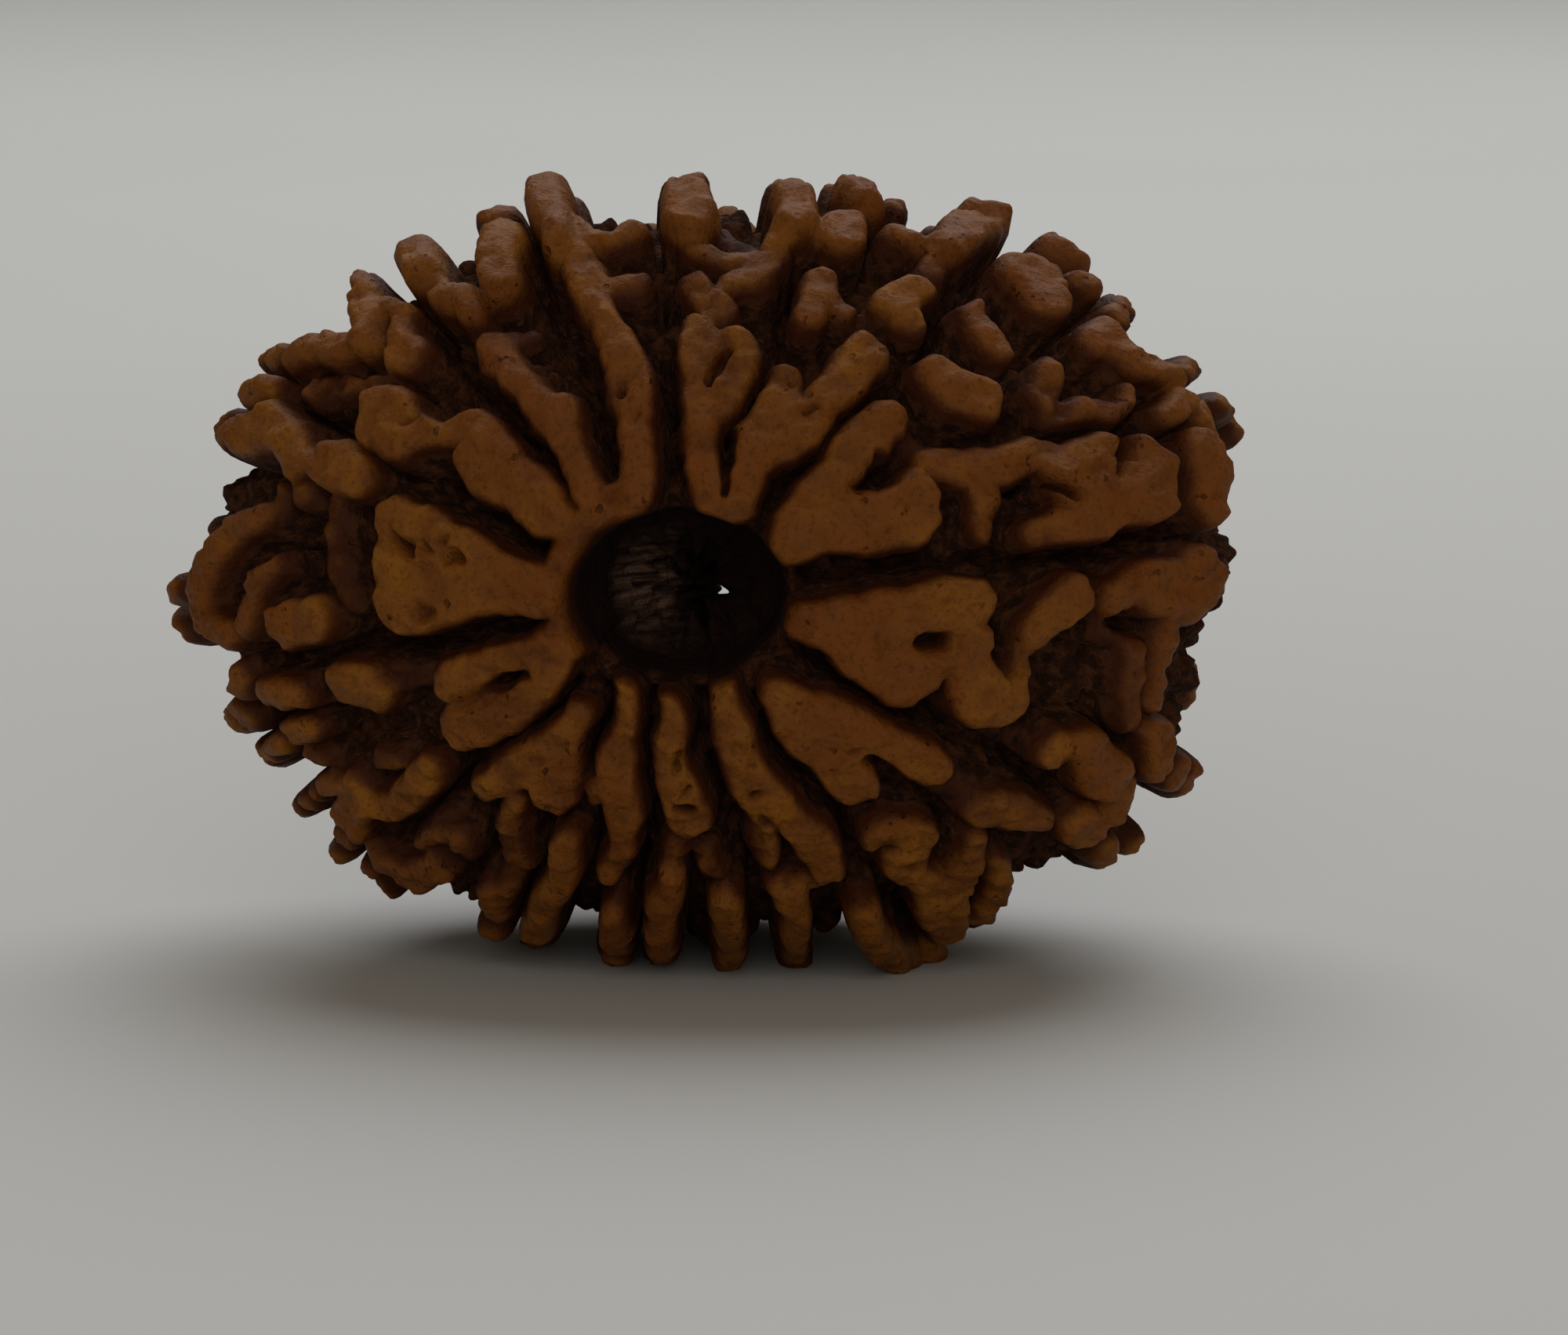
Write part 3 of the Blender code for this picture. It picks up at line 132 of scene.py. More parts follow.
# The ridges of the near face. Each has its height over the valley and the points along its
# middle: right and up from the mouth, then half the ridge's width there.
FACE_RIDGES = {
    "upper right lobes": [
        (1.5, [(1.0, 2.1, 0.50), (0.65, 3.5, 0.48), (0.6, 5.0, 0.50), (0.6, 6.3, 0.50),
               (0.65, 7.0, 0.45)]),
        (1.5, [(0.8, 4.7, 0.45), (1.3, 5.6, 0.42), (1.8, 6.4, 0.45), (1.5, 6.8, 0.40)]),
        (1.5, [(1.5, 2.4, 0.45), (1.9, 3.6, 0.50), (2.4, 4.6, 0.65), (2.6, 5.3, 0.45),
               (2.8, 5.8, 0.35)]),
        (1.5, [(2.2, 3.9, 0.55), (3.2, 4.6, 0.50), (4.2, 5.6, 0.50), (4.9, 6.4, 0.58)]),
        (1.5, [(2.8, 1.7, 0.45), (3.6, 2.7, 0.50), (4.5, 3.9, 0.55), (5.4, 4.6, 0.58)]),
        (1.6, [(2.7, 1.4, 0.45), (3.8, 1.8, 0.60), (5.0, 1.9, 0.68), (6.0, 2.1, 0.75),
               (6.2, 2.8, 0.50)]),
        (1.5, [(3.3, 1.9, 0.50), (4.1, 2.4, 0.60), (4.7, 2.3, 0.50)]),
        (1.1, [(5.8, 4.7, 0.25), (6.3, 4.0, 0.25), (6.6, 3.6, 0.30)]),
    ],
    "upper right knobs": [
        (1.4, [(0.4, 8.4, 0.35), (0.8, 8.0, 0.45), (1.2, 7.6, 0.40)]),
        (2.0, [(0.2, 10.2, 0.55), (0.4, 9.7, 0.60)]),
        (1.0, [(0.9, 10.0, 0.35), (1.5, 9.6, 0.30), (2.1, 9.4, 0.25)]),
        (1.4, [(0.5, 9.3, 0.35), (1.1, 9.0, 0.35), (1.6, 8.9, 0.30), (2.2, 8.9, 0.35)]),
        (1.4, [(1.5, 8.4, 0.35), (2.2, 8.5, 0.42), (2.6, 9.0, 0.40), (2.8, 9.7, 0.35)]),
        (2.0, [(3.0, 10.3, 0.50), (3.1, 9.6, 0.50)]),
        (1.7, [(4.3, 9.8, 0.50), (4.3, 9.4, 0.58)]),
        (2.0, [(4.4, 10.5, 0.35), (4.9, 10.1, 0.40)]),
        (1.5, [(5.6, 9.6, 0.32), (6.1, 9.3, 0.30)]),
        (1.6, [(3.4, 7.3, 0.35), (3.7, 8.0, 0.45), (3.8, 8.3, 0.40)]),
        (1.4, [(3.9, 7.9, 0.35), (4.4, 7.5, 0.32)]),
        (1.6, [(5.6, 7.7, 0.42), (6.1, 8.0, 0.52), (6.5, 8.1, 0.42)]),
        (1.5, [(6.0, 7.7, 0.50), (6.2, 7.2, 0.35)]),
        (1.1, [(4.7, 7.4, 0.22), (5.3, 7.5, 0.25)]),
        (1.8, [(6.9, 9.1, 0.48), (7.4, 9.5, 0.60), (8.1, 9.8, 0.55)]),
        (1.4, [(6.9, 9.0, 0.40), (6.7, 8.6, 0.32)]),
        (2.2, [(7.6, 10.2, 0.25), (8.3, 10.2, 0.35)]),
        (1.5, [(7.8, 7.5, 0.42), (8.1, 7.0, 0.42), (8.5, 6.5, 0.35)]),
        (1.7, [(8.9, 8.5, 0.58), (9.4, 8.3, 0.78), (9.7, 7.7, 0.62)]),
        (2.1, [(9.6, 9.1, 0.40), (10.2, 8.8, 0.40)]),
        (1.7, [(10.5, 8.2, 0.38), (10.6, 8.1, 0.30)]),
        (1.6, [(6.7, 5.8, 0.55), (7.2, 5.5, 0.62), (8.0, 5.2, 0.45)]),
        (1.4, [(9.8, 6.0, 0.35), (9.7, 5.4, 0.35)]),
        (1.4, [(9.9, 4.9, 0.28), (10.6, 5.05, 0.34), (11.2, 5.0, 0.35)]),
        (1.5, [(11.75, 5.4, 0.24), (11.6, 5.1, 0.20)]),
        (1.6, [(10.9, 6.7, 0.48), (11.2, 7.0, 0.42), (11.6, 6.4, 0.48)]),
        (1.7, [(11.8, 6.2, 0.40), (12.4, 6.0, 0.35), (13.0, 5.7, 0.30)]),
        (1.6, [(12.7, 4.8, 0.28), (13.2, 5.2, 0.35)]),
        (1.5, [(13.7, 4.8, 0.32), (13.9, 4.3, 0.32)]),
    ],
    "right blocks": [
        (1.5, [(6.6, 3.5, 0.35), (7.6, 3.4, 0.45), (8.6, 3.6, 0.50), (9.4, 3.9, 0.38),
               (10.3, 3.6, 0.55)]),
        (1.6, [(10.4, 3.6, 0.50), (11.0, 3.95, 0.38)]),
        (1.7, [(10.2, 3.2, 0.65), (11.0, 2.8, 0.85), (12.0, 2.8, 0.75)]),
        (1.7, [(12.05, 4.0, 0.40), (12.5, 3.5, 0.55), (12.3, 2.8, 0.75)]),
        (1.6, [(9.3, 1.75, 0.30), (10.2, 1.95, 0.46), (11.1, 2.2, 0.58)]),
        (1.4, [(8.0, 3.0, 0.38), (8.0, 2.3, 0.40), (8.0, 1.9, 0.34)]),
        (1.7, [(13.6, 4.0, 0.45), (13.9, 3.3, 0.55), (13.8, 2.6, 0.50)]),
        (1.6, [(9.4, -0.8, 0.48), (9.9, -0.3, 0.60), (10.2, 0.0, 0.52)]),
        (1.6, [(11.4, 0.1, 0.50), (12.2, 0.4, 0.62), (13.0, 0.2, 0.68)]),
        (1.7, [(13.5, 1.0, 0.50), (13.8, 0.4, 0.50), (13.5, -0.1, 0.48)]),
        (1.4, [(13.0, -0.3, 0.46), (12.8, -1.0, 0.36)]),
        (1.2, [(11.4, -0.2, 0.38), (11.4, -0.9, 0.24), (12.0, -1.3, 0.28)]),
        (1.4, [(12.0, -1.4, 0.42), (11.9, -2.4, 0.44), (12.0, -3.3, 0.38)]),
        (1.5, [(12.7, -1.3, 0.30), (12.6, -2.6, 0.30)]),
    ],
    "lower right lobes": [
        (1.6, [(3.2, -0.6, 0.48), (4.4, -0.7, 0.80), (5.5, -1.0, 1.20), (6.0, -1.2, 1.30)]),
        (1.6, [(5.1, -1.5, 0.90), (5.7, -2.2, 0.62)]),
        (1.6, [(6.2, -0.5, 0.70), (7.2, -0.2, 0.70), (7.8, -0.1, 0.52)]),
        (1.5, [(7.0, -1.2, 0.68), (7.6, -1.0, 0.50)]),
        (1.6, [(7.6, -1.7, 0.42), (7.9, -2.5, 0.72), (8.5, -2.6, 0.70)]),
        (1.3, [(8.9, -2.1, 0.42), (9.0, -1.4, 0.32), (9.5, -0.9, 0.45)]),
        (1.6, [(2.6, -2.5, 0.42), (3.3, -3.3, 0.70), (4.1, -4.0, 0.78), (4.6, -4.9, 0.60)]),
        (1.6, [(3.6, -3.1, 0.60), (4.8, -3.6, 0.55), (5.8, -4.0, 0.48), (6.6, -4.4, 0.52)]),
        (1.5, [(1.2, -2.4, 0.32), (1.5, -3.8, 0.42), (2.0, -4.8, 0.58), (2.4, -5.4, 0.58)]),
        (1.4, [(2.2, -5.6, 0.30), (2.3, -6.5, 0.33), (2.4, -7.0, 0.25)]),
        (1.4, [(2.6, -5.6, 0.38), (3.1, -6.0, 0.38)]),
        (1.5, [(3.0, -5.7, 0.38), (3.7, -6.6, 0.48), (4.0, -7.2, 0.42)]),
        (1.3, [(3.5, -7.5, 0.32), (3.0, -7.6, 0.30)]),
        (1.7, [(2.9, -7.6, 0.36), (3.1, -8.3, 0.34), (3.1, -8.9, 0.32)]),
    ],
    "lower right knobs": [
        (1.5, [(9.8, -4.1, 0.48), (10.0, -3.8, 0.40)]),
        (1.7, [(10.7, -3.9, 0.55), (11.0, -4.5, 0.72), (11.2, -4.7, 0.58)]),
        (1.7, [(12.5, -3.6, 0.48), (12.5, -4.3, 0.52)]),
        (1.6, [(10.5, -5.9, 0.55), (10.7, -6.1, 0.48)]),
        (1.6, [(11.5, -5.1, 0.38), (11.3, -5.6, 0.36)]),
        (1.0, [(7.0, -4.9, 0.38), (7.6, -5.3, 0.38)]),
        (1.5, [(7.9, -5.6, 0.40), (8.8, -5.7, 0.52), (9.6, -5.8, 0.35)]),
        (1.6, [(5.5, -6.2, 0.58), (6.2, -6.3, 0.65), (6.0, -7.0, 0.58)]),
        (1.7, [(6.4, -7.4, 0.45), (6.9, -8.0, 0.62), (7.0, -8.6, 0.50)]),
        (1.5, [(7.1, -7.9, 0.40), (7.5, -7.1, 0.38), (7.8, -6.4, 0.35)]),
        (1.5, [(8.4, -7.0, 0.34), (8.3, -7.8, 0.38), (7.9, -8.4, 0.38)]),
        (2.0, [(4.8, -8.0, 0.38), (5.2, -8.8, 0.42), (5.9, -9.3, 0.44), (6.5, -9.1, 0.40)]),
    ],
    "lower lobes": [
        (1.5, [(-0.2, -2.6, 0.20), (-0.15, -4.0, 0.35), (0.1, -5.1, 0.58), (0.25, -5.8, 0.58)]),
        (1.3, [(0.1, -6.2, 0.32), (0.0, -6.9, 0.26)]),
        (1.8, [(-0.1, -7.2, 0.30), (-0.3, -8.0, 0.38), (-0.35, -8.8, 0.34)]),
        (1.2, [(0.8, -6.8, 0.28), (1.0, -7.3, 0.30)]),
        (1.8, [(1.3, -7.8, 0.34), (1.4, -8.7, 0.38)]),
        (1.5, [(-1.4, -2.3, 0.28), (-1.4, -3.6, 0.38), (-1.6, -4.7, 0.48), (-1.45, -5.8, 0.42)]),
        (1.5, [(-1.4, -5.9, 0.38), (-1.4, -6.6, 0.34), (-1.8, -7.2, 0.32)]),
        (1.4, [(-1.7, -4.8, 0.38), (-2.2, -5.2, 0.30)]),
        (1.8, [(-1.6, -8.0, 0.34), (-1.5, -8.7, 0.32)]),
        (1.5, [(-2.5, -2.9, 0.30), (-3.0, -3.8, 0.55), (-3.4, -4.5, 0.82), (-3.3, -5.1, 0.58)]),
        (1.5, [(-3.6, -4.2, 0.50), (-4.5, -4.8, 0.48), (-5.0, -5.0, 0.36)]),
        (1.3, [(-4.3, -5.5, 0.33), (-4.3, -6.5, 0.34), (-4.2, -7.0, 0.30)]),
        (1.4, [(-4.4, -7.3, 0.26), (-4.5, -7.9, 0.26)]),
        (1.7, [(-2.8, -6.2, 0.30), (-2.9, -7.0, 0.38), (-3.4, -7.9, 0.38), (-3.6, -8.7, 0.36)]),
        (1.6, [(-4.9, -7.6, 0.28), (-4.7, -8.2, 0.30)]),
    ],
    "left lobes": [
        (1.4, [(-2.6, -1.2, 0.34), (-2.85, -0.2, 0.45), (-2.85, 0.8, 0.45), (-2.6, 1.7, 0.48)]),
        (1.5, [(-3.0, -0.9, 0.45), (-4.0, -1.5, 0.34), (-5.0, -1.8, 0.35), (-5.9, -2.1, 0.55)]),
        (1.5, [(-2.9, -1.3, 0.40), (-3.7, -2.3, 0.42), (-4.6, -3.0, 0.66), (-5.5, -3.4, 0.65)]),
        (1.2, [(-5.9, -2.4, 0.38), (-5.6, -3.0, 0.38)]),
        (1.6, [(-3.2, 0.1, 0.50), (-4.4, 0.4, 0.80), (-5.6, 0.55, 1.05), (-6.7, 0.6, 1.30)]),
        (1.6, [(-7.3, 2.2, 0.50), (-7.2, 0.9, 0.65), (-7.2, -0.3, 0.60)]),
        (1.6, [(-6.3, 1.6, 0.52), (-6.9, 2.0, 0.50)]),
        (1.6, [(-3.1, 1.9, 0.38), (-3.9, 2.7, 0.58), (-4.7, 3.3, 0.78), (-5.2, 3.6, 0.60)]),
        (1.6, [(-4.6, 3.9, 0.50), (-5.3, 4.5, 0.40), (-6.3, 4.4, 0.38), (-7.0, 4.4, 0.58),
               (-7.6, 4.8, 0.78)]),
        (1.5, [(-2.3, 2.5, 0.40), (-2.8, 3.8, 0.42), (-3.0, 4.6, 0.58), (-3.0, 5.0, 0.50)]),
        (1.5, [(-3.3, 4.8, 0.50), (-4.0, 5.6, 0.38), (-4.7, 6.4, 0.48), (-4.9, 6.7, 0.40)]),
        (1.3, [(-4.7, 6.8, 0.30), (-3.9, 7.05, 0.20)]),
        (1.2, [(-4.0, 6.0, 0.25), (-3.5, 6.1, 0.14)]),
        (1.4, [(-2.1, 2.2, 0.55), (-1.4, 2.5, 0.55)]),
        (1.6, [(-1.1, 2.8, 0.42), (-1.05, 4.2, 0.45), (-1.2, 5.3, 0.58), (-1.5, 6.5, 0.45)]),
        (1.6, [(-1.5, 6.5, 0.45), (-2.0, 7.5, 0.42), (-2.3, 8.6, 0.42), (-2.6, 9.2, 0.35)]),
    ],
    "left knobs": [
        (2.2, [(-3.3, 10.3, 0.45), (-3.2, 9.7, 0.40), (-2.9, 9.0, 0.32)]),
        (1.6, [(-2.8, 9.8, 0.25), (-2.2, 9.4, 0.25), (-1.6, 9.3, 0.30), (-1.1, 9.6, 0.36)]),
        (1.4, [(-1.5, 8.3, 0.35), (-1.0, 8.3, 0.32)]),
        (2.0, [(-4.45, 9.3, 0.46), (-4.5, 8.6, 0.48), (-4.4, 8.1, 0.45)]),
        (2.1, [(-6.6, 8.8, 0.50), (-6.4, 8.3, 0.42)]),
        (1.6, [(-6.4, 8.3, 0.40), (-6.0, 7.9, 0.38), (-5.4, 7.7, 0.38), (-5.2, 7.4, 0.34)]),
        (1.9, [(-8.0, 6.6, 0.30), (-7.95, 7.3, 0.34), (-7.9, 7.8, 0.36)]),
        (1.7, [(-7.6, 7.6, 0.22), (-7.2, 7.3, 0.35)]),
        (1.6, [(-7.2, 7.0, 0.40), (-7.0, 6.4, 0.55)]),
        (1.5, [(-7.2, 3.95, 0.36), (-7.7, 4.4, 0.50), (-7.9, 5.2, 0.38)]),
        (1.3, [(-9.5, 5.6, 0.38), (-8.9, 5.6, 0.42), (-8.3, 5.6, 0.28), (-7.6, 5.8, 0.22)]),
        (1.7, [(-9.8, 6.3, 0.36), (-9.3, 6.6, 0.40), (-8.6, 6.5, 0.40)]),
        (1.7, [(-11.2, 4.2, 0.50), (-10.6, 4.5, 0.62), (-10.1, 4.3, 0.50), (-9.9, 3.6, 0.38)]),
        (1.7, [(-10.9, 5.3, 0.34), (-10.4, 5.5, 0.30)]),
        (1.3, [(-9.9, 3.2, 0.33), (-9.8, 2.7, 0.30)]),
        (1.7, [(-9.2, 3.6, 0.50), (-8.7, 3.5, 0.58), (-8.2, 3.1, 0.42)]),
        (1.2, [(-9.0, 2.6, 0.25), (-9.1, 1.6, 0.25), (-9.0, 0.6, 0.34), (-8.7, 0.0, 0.34)]),
        (1.7, [(-10.2, -0.65, 0.50), (-9.4, -0.6, 0.55)]),
        (1.5, [(-10.5, 0.9, 0.30), (-10.9, 0.4, 0.34), (-11.2, -0.4, 0.38), (-11.2, -0.9, 0.34)]),
        (1.6, [(-10.9, 2.1, 0.40), (-11.6, 1.7, 0.46), (-12.1, 1.0, 0.42), (-12.3, 0.2, 0.40)]),
        (1.6, [(-12.3, 0.2, 0.40), (-12.2, -0.5, 0.46), (-11.7, -0.9, 0.42)]),
        (1.2, [(-10.7, 2.2, 0.30), (-10.5, 2.8, 0.30)]),
        (1.6, [(-8.5, -2.3, 0.60), (-8.0, -2.4, 0.65)]),
        (1.1, [(-7.3, -2.1, 0.38), (-6.9, -2.1, 0.30)]),
        (1.6, [(-10.6, -2.5, 0.40), (-9.9, -2.4, 0.36)]),
        (1.6, [(-11.4, -1.9, 0.30), (-11.3, -2.4, 0.30)]),
        (1.5, [(-10.0, -3.5, 0.30), (-9.5, -3.4, 0.34)]),
        (1.4, [(-9.6, -4.1, 0.25), (-9.2, -4.3, 0.25)]),
        (1.3, [(-7.8, -4.3, 0.30), (-7.4, -4.3, 0.30)]),
        (1.5, [(-9.1, -4.9, 0.30), (-8.4, -4.8, 0.34)]),
        (1.6, [(-8.1, -5.3, 0.40), (-8.6, -5.7, 0.38), (-8.2, -6.1, 0.34)]),
        (1.5, [(-6.4, -4.5, 0.34), (-6.8, -5.0, 0.44), (-7.3, -5.5, 0.40), (-7.8, -5.4, 0.30)]),
        (1.5, [(-7.9, -6.6, 0.30), (-7.7, -6.9, 0.30)]),
        (1.3, [(-6.0, -5.9, 0.25), (-6.7, -6.5, 0.28)]),
        (1.6, [(-7.5, -7.0, 0.38), (-6.8, -7.3, 0.50), (-6.2, -7.1, 0.42)]),
        (1.3, [(-5.7, -6.4, 0.32), (-5.6, -6.6, 0.30)]),
    ],
}

# Pits sunk into the lobes of the near face: depth, then points as for a ridge
FACE_PITS = [
    (0.5, [(0.8, 5.6, 0.12), (1.2, 6.4, 0.12)]),
    (0.9, [(1.15, 2.6, 0.10), (1.3, 3.4, 0.12), (1.5, 4.4, 0.14)]),
    (1.0, [(11.5, 4.1, 0.16), (11.45, 3.3, 0.14)]),
    (0.9, [(9.5, 3.1, 0.18), (10.2, 2.75, 0.16)]),
    (0.9, [(5.0, -4.1, 0.12), (5.6, -4.7, 0.20)]),
    (0.7, [(5.2, 3.7, 0.18), (5.6, 3.4, 0.16)]),
    (0.8, [(8.5, -1.9, 0.12), (8.7, -1.2, 0.14)]),
    (0.8, [(6.0, -8.0, 0.16), (5.6, -7.6, 0.14)]),
    (0.6, [(-3.3, 6.4, 0.14), (-3.6, 6.1, 0.16)]),
    (0.6, [(-10.6, 1.3, 0.20), (-10.9, 1.1, 0.20)]),
    (0.9, [(6.5, -1.1, 0.24), (6.8, -1.1, 0.24)]),
    (0.3, [(5.3, -1.2, 0.22), (5.4, -1.3, 0.20)]),
    (0.7, [(0.1, -5.5, 0.20), (0.2, -5.5, 0.20)]),
    (0.3, [(0.1, -4.0, 0.12), (0.1, -4.4, 0.12)]),
    (0.5, [(-7.3, 1.6, 0.18), (-6.8, 1.3, 0.22)]),
    (0.5, [(-5.8, 1.0, 0.16), (-5.6, 0.95, 0.18)]),
    (0.3, [(-6.7, -0.3, 0.16), (-6.3, -0.3, 0.16)]),
    (0.8, [(-3.9, -2.0, 0.12), (-5.0, -2.3, 0.16)]),
    (0.4, [(2.1, -5.1, 0.14), (2.1, -5.2, 0.12)]),
    (0.5, [(2.35, -5.8, 0.16), (2.4, -5.9, 0.14)]),
    (0.4, [(5.4, -6.6, 0.16), (5.6, -6.6, 0.14)]),
    (0.5, [(10.1, 7.8, 0.18), (10.2, 7.7, 0.16)]),
    (0.4, [(-6.4, 1.35, 0.12), (-6.2, 1.1, 0.10)]),
    (0.3, [(-7.4, 1.9, 0.10), (-7.2, 2.1, 0.10)]),
    (0.4, [(-5.9, 1.3, 0.09), (-5.8, 1.5, 0.09)]),
    (0.3, [(-4.9, -2.6, 0.12), (-5.1, -2.7, 0.10)]),
    (0.3, [(-1.5, 5.3, 0.12), (-1.4, 5.6, 0.10)]),
    (0.3, [(-1.0, 4.6, 0.10), (-0.9, 4.8, 0.10)]),
    (0.3, [(-7.0, 4.6, 0.12), (-6.8, 4.8, 0.12)]),
    (0.3, [(4.6, -3.9, 0.12), (4.8, -3.8, 0.12)]),
    (0.3, [(3.7, -5.0, 0.12), (3.9, -5.2, 0.10)]),
    (0.3, [(6.1, -6.9, 0.12), (6.2, -7.0, 0.10)]),
    (0.3, [(0.35, -4.9, 0.08), (0.2, -5.1, 0.08)]),
    (0.3, [(3.3, 4.9, 0.10), (3.5, 5.0, 0.10)]),
    (0.3, [(12.9, 3.3, 0.12), (13.0, 3.1, 0.12)]),
    (0.6, [(11.5, -0.6, 0.20), (11.8, -0.7, 0.18)]),
]

# The growth rule of the sides and the far face
GROWTH_SEED = 14
ROW_COLATITUDES = (131.0, 122.5, 114.0, 105.0, 96.0, 87.0, 79.0)
KNOB_SPACING = 1.7
KNOB_GAP = 0.20  # left free between a grown knob and what stands there already
BAND_MARGIN = 0.2  # left free between the knobs of a band and its lines
LOBE_MARGIN = 0.14  # and between its lobe and its lines
TIE_REACH = 2.3  # a knob may be tied to one of the row before that lies this near
TRIES = 5  # places that are tried for a grown knob
SMALL_KNOBS = 1500  # places that are tried for a small knob once the rows are full
OVER_THE_EDGE = 0.6  # ridges of the near face that turn this far away are followed by knobs
NEARLY_HIDDEN = 0.22  # from here on knobs grow behind a ridge, and low ones between the ridges
LOW_KNOB = 0.4  # the height of those low ones
OUT_OF_SIGHT = -0.45  # and from here on knobs grow freely
COVERED = 0.1  # how far behind a ridge a knob has to lie so that it is hidden
FAR_TURN = 0.15  # how far the first line has turned at the far mouth, in radians
EVEN_OUT = (math.radians(95), math.radians(160))  # where the lines come to lie evenly apart


def smoothstep(low, high, value):
    t = np.clip((value - low) / (high - low), 0.0, 1.0)
    return t * t * (3.0 - 2.0 * t)


def ripple(points, length, seed, waves=7):
    """A smooth uneven field over space, between about -1 and 1, whose swells are this long."""
    draw = np.random.default_rng(seed)
    total = np.zeros(len(points))
    for _ in range(waves):
        way = draw.normal(size=3)
        way /= np.linalg.norm(way)
        pitch = 2.0 * math.pi / (length * draw.uniform(0.7, 1.4))
        total += np.sin(points @ way * pitch + draw.uniform(0.0, 2.0 * math.pi))
    return total / math.sqrt(waves)


def shell_points(colatitude, longitude, sunk):
    """Points of the smooth oval body, this far under the crests. Colatitude 0 is the near pole."""
    sine = np.sin(colatitude)
    near = np.cos(colatitude) > 0.0
    away = smoothstep(*OWN_OUTLINE, sine)
    swell = -sunk
    for bearing, spread, stands_out in SWELLS:
        turned = np.angle(np.exp(1j * (longitude - math.radians(bearing))))
        swell = swell + stands_out * np.exp(-((turned / math.radians(spread)) ** 2))
    side = MOUTH_OVAL[0] + (WIDTH / 2 - MOUTH_OVAL[0] + swell) * away
    rise = MOUTH_OVAL[1] + (HEIGHT / 2 - MOUTH_OVAL[1] + swell) * away
    shift_x = np.where(near, NEAR_MOUTH_SHIFT[0], FAR_MOUTH_SHIFT[0]) * (1.0 - away)
    shift_z = np.where(near, NEAR_MOUTH_SHIFT[1], FAR_MOUTH_SHIFT[1]) * (1.0 - away)
    x = side * sine * np.cos(longitude) + shift_x
    y = -(THICKNESS / 2 - sunk) * np.cos(colatitude)
    z = rise * sine * np.sin(longitude) + shift_z
    return np.stack([x, y, z], axis=-1)


def mouth_edge(turn, near):
    """The rim of a mouth, at the foot of its funnel."""
    sine = NEAR_MOUTH_SINE if near else FAR_MOUTH_SINE
    colatitude = math.asin(sine) if near else math.pi - math.asin(sine)
    edge = shell_points(np.full_like(turn, colatitude), turn, RELIEF)
    edge[..., 1] += FUNNEL_DEPTH if near else -FUNNEL_DEPTH
    return edge


def bore_points(turn, share):
    """Points of the bore's wall, this share of the way from the near mouth to the far one."""
    near_edge, far_edge = mouth_edge(turn, True), mouth_edge(turn, False)
    all_round = np.linspace(0.0, 2.0 * math.pi, 361)[:-1]
    near_middle = mouth_edge(all_round, True).mean(axis=0)
    far_middle = mouth_edge(all_round, False).mean(axis=0)
    along = share[:, None]
    line = near_edge + (far_edge - near_edge) * along
    middle = near_middle + (far_middle - near_middle) * along
    out = line - middle
    reach = np.hypot(out[:, 0], out[:, 2])
    narrow = smoothstep(0.0, THROAT_RUN[0], share) * smoothstep(1.0, THROAT_RUN[1], share)
    wall = middle + out * ((reach + (THROAT_RADIUS - reach) * narrow) / reach)[:, None]
    wall[:, 0] += THROAT_SHIFT[0] * narrow
    wall[:, 1] = line[:, 1]
    wall[:, 2] += THROAT_SHIFT[1] * narrow
    return wall


def body_points(turn, section):
    """Lays the points of a ring on the bead.

    turn is the bearing round the bore, and section runs from -pi to pi: out of the bore at the
    far mouth, over the far face, the side and the near face, and into the bore again. Gives each
    point's place in the valleys, its place on the crests, the way that a ridge rises there, and
    the share of its height that a ridge keeps.
    """
    edge = math.pi * (1.0 - BORE_SHARE)
    start = math.asin(NEAR_MOUTH_SINE)
    end = math.pi - math.asin(FAR_MOUTH_SINE)
    colatitude = start + (end - start) * (1.0 - np.clip(section / edge, -1.0, 1.0)) / 2
    crest = shell_points(colatitude, turn, 0.0)
    valley = shell_points(colatitude, turn, RELIEF)
    rise = (crest - valley) / RELIEF
    sine = np.sin(colatitude)
    near = np.cos(colatitude) > 0.0
    rim = np.where(near, NEAR_MOUTH_SINE, FAR_MOUTH_SINE)
    spread = np.clip(1.0 - (sine - rim) / FUNNEL_REACH, 0.0, 1.0)
    valley[:, 1] += np.where(near, 1.0, -1.0) * FUNNEL_DEPTH * spread**2
    keep = 1.0 - (1.0 - KEPT_AT_MOUTH) * smoothstep(0.35, 1.0, spread)

    inside = np.abs(section) > edge
    deep = (np.abs(section[inside]) - edge) / (math.pi - edge) / 2
    share = np.where(section[inside] > 0.0, deep, 1.0 - deep)
    wall_turn = turn[inside]
    valley[inside] = bore_points(wall_turn, share)
    rise[inside] = -np.stack([np.cos(wall_turn), 0 * wall_turn, np.sin(wall_turn)], axis=-1)
    keep[inside] = KEPT_AT_MOUTH * np.exp(-deep / FADE)
    return valley, crest, rise, keep


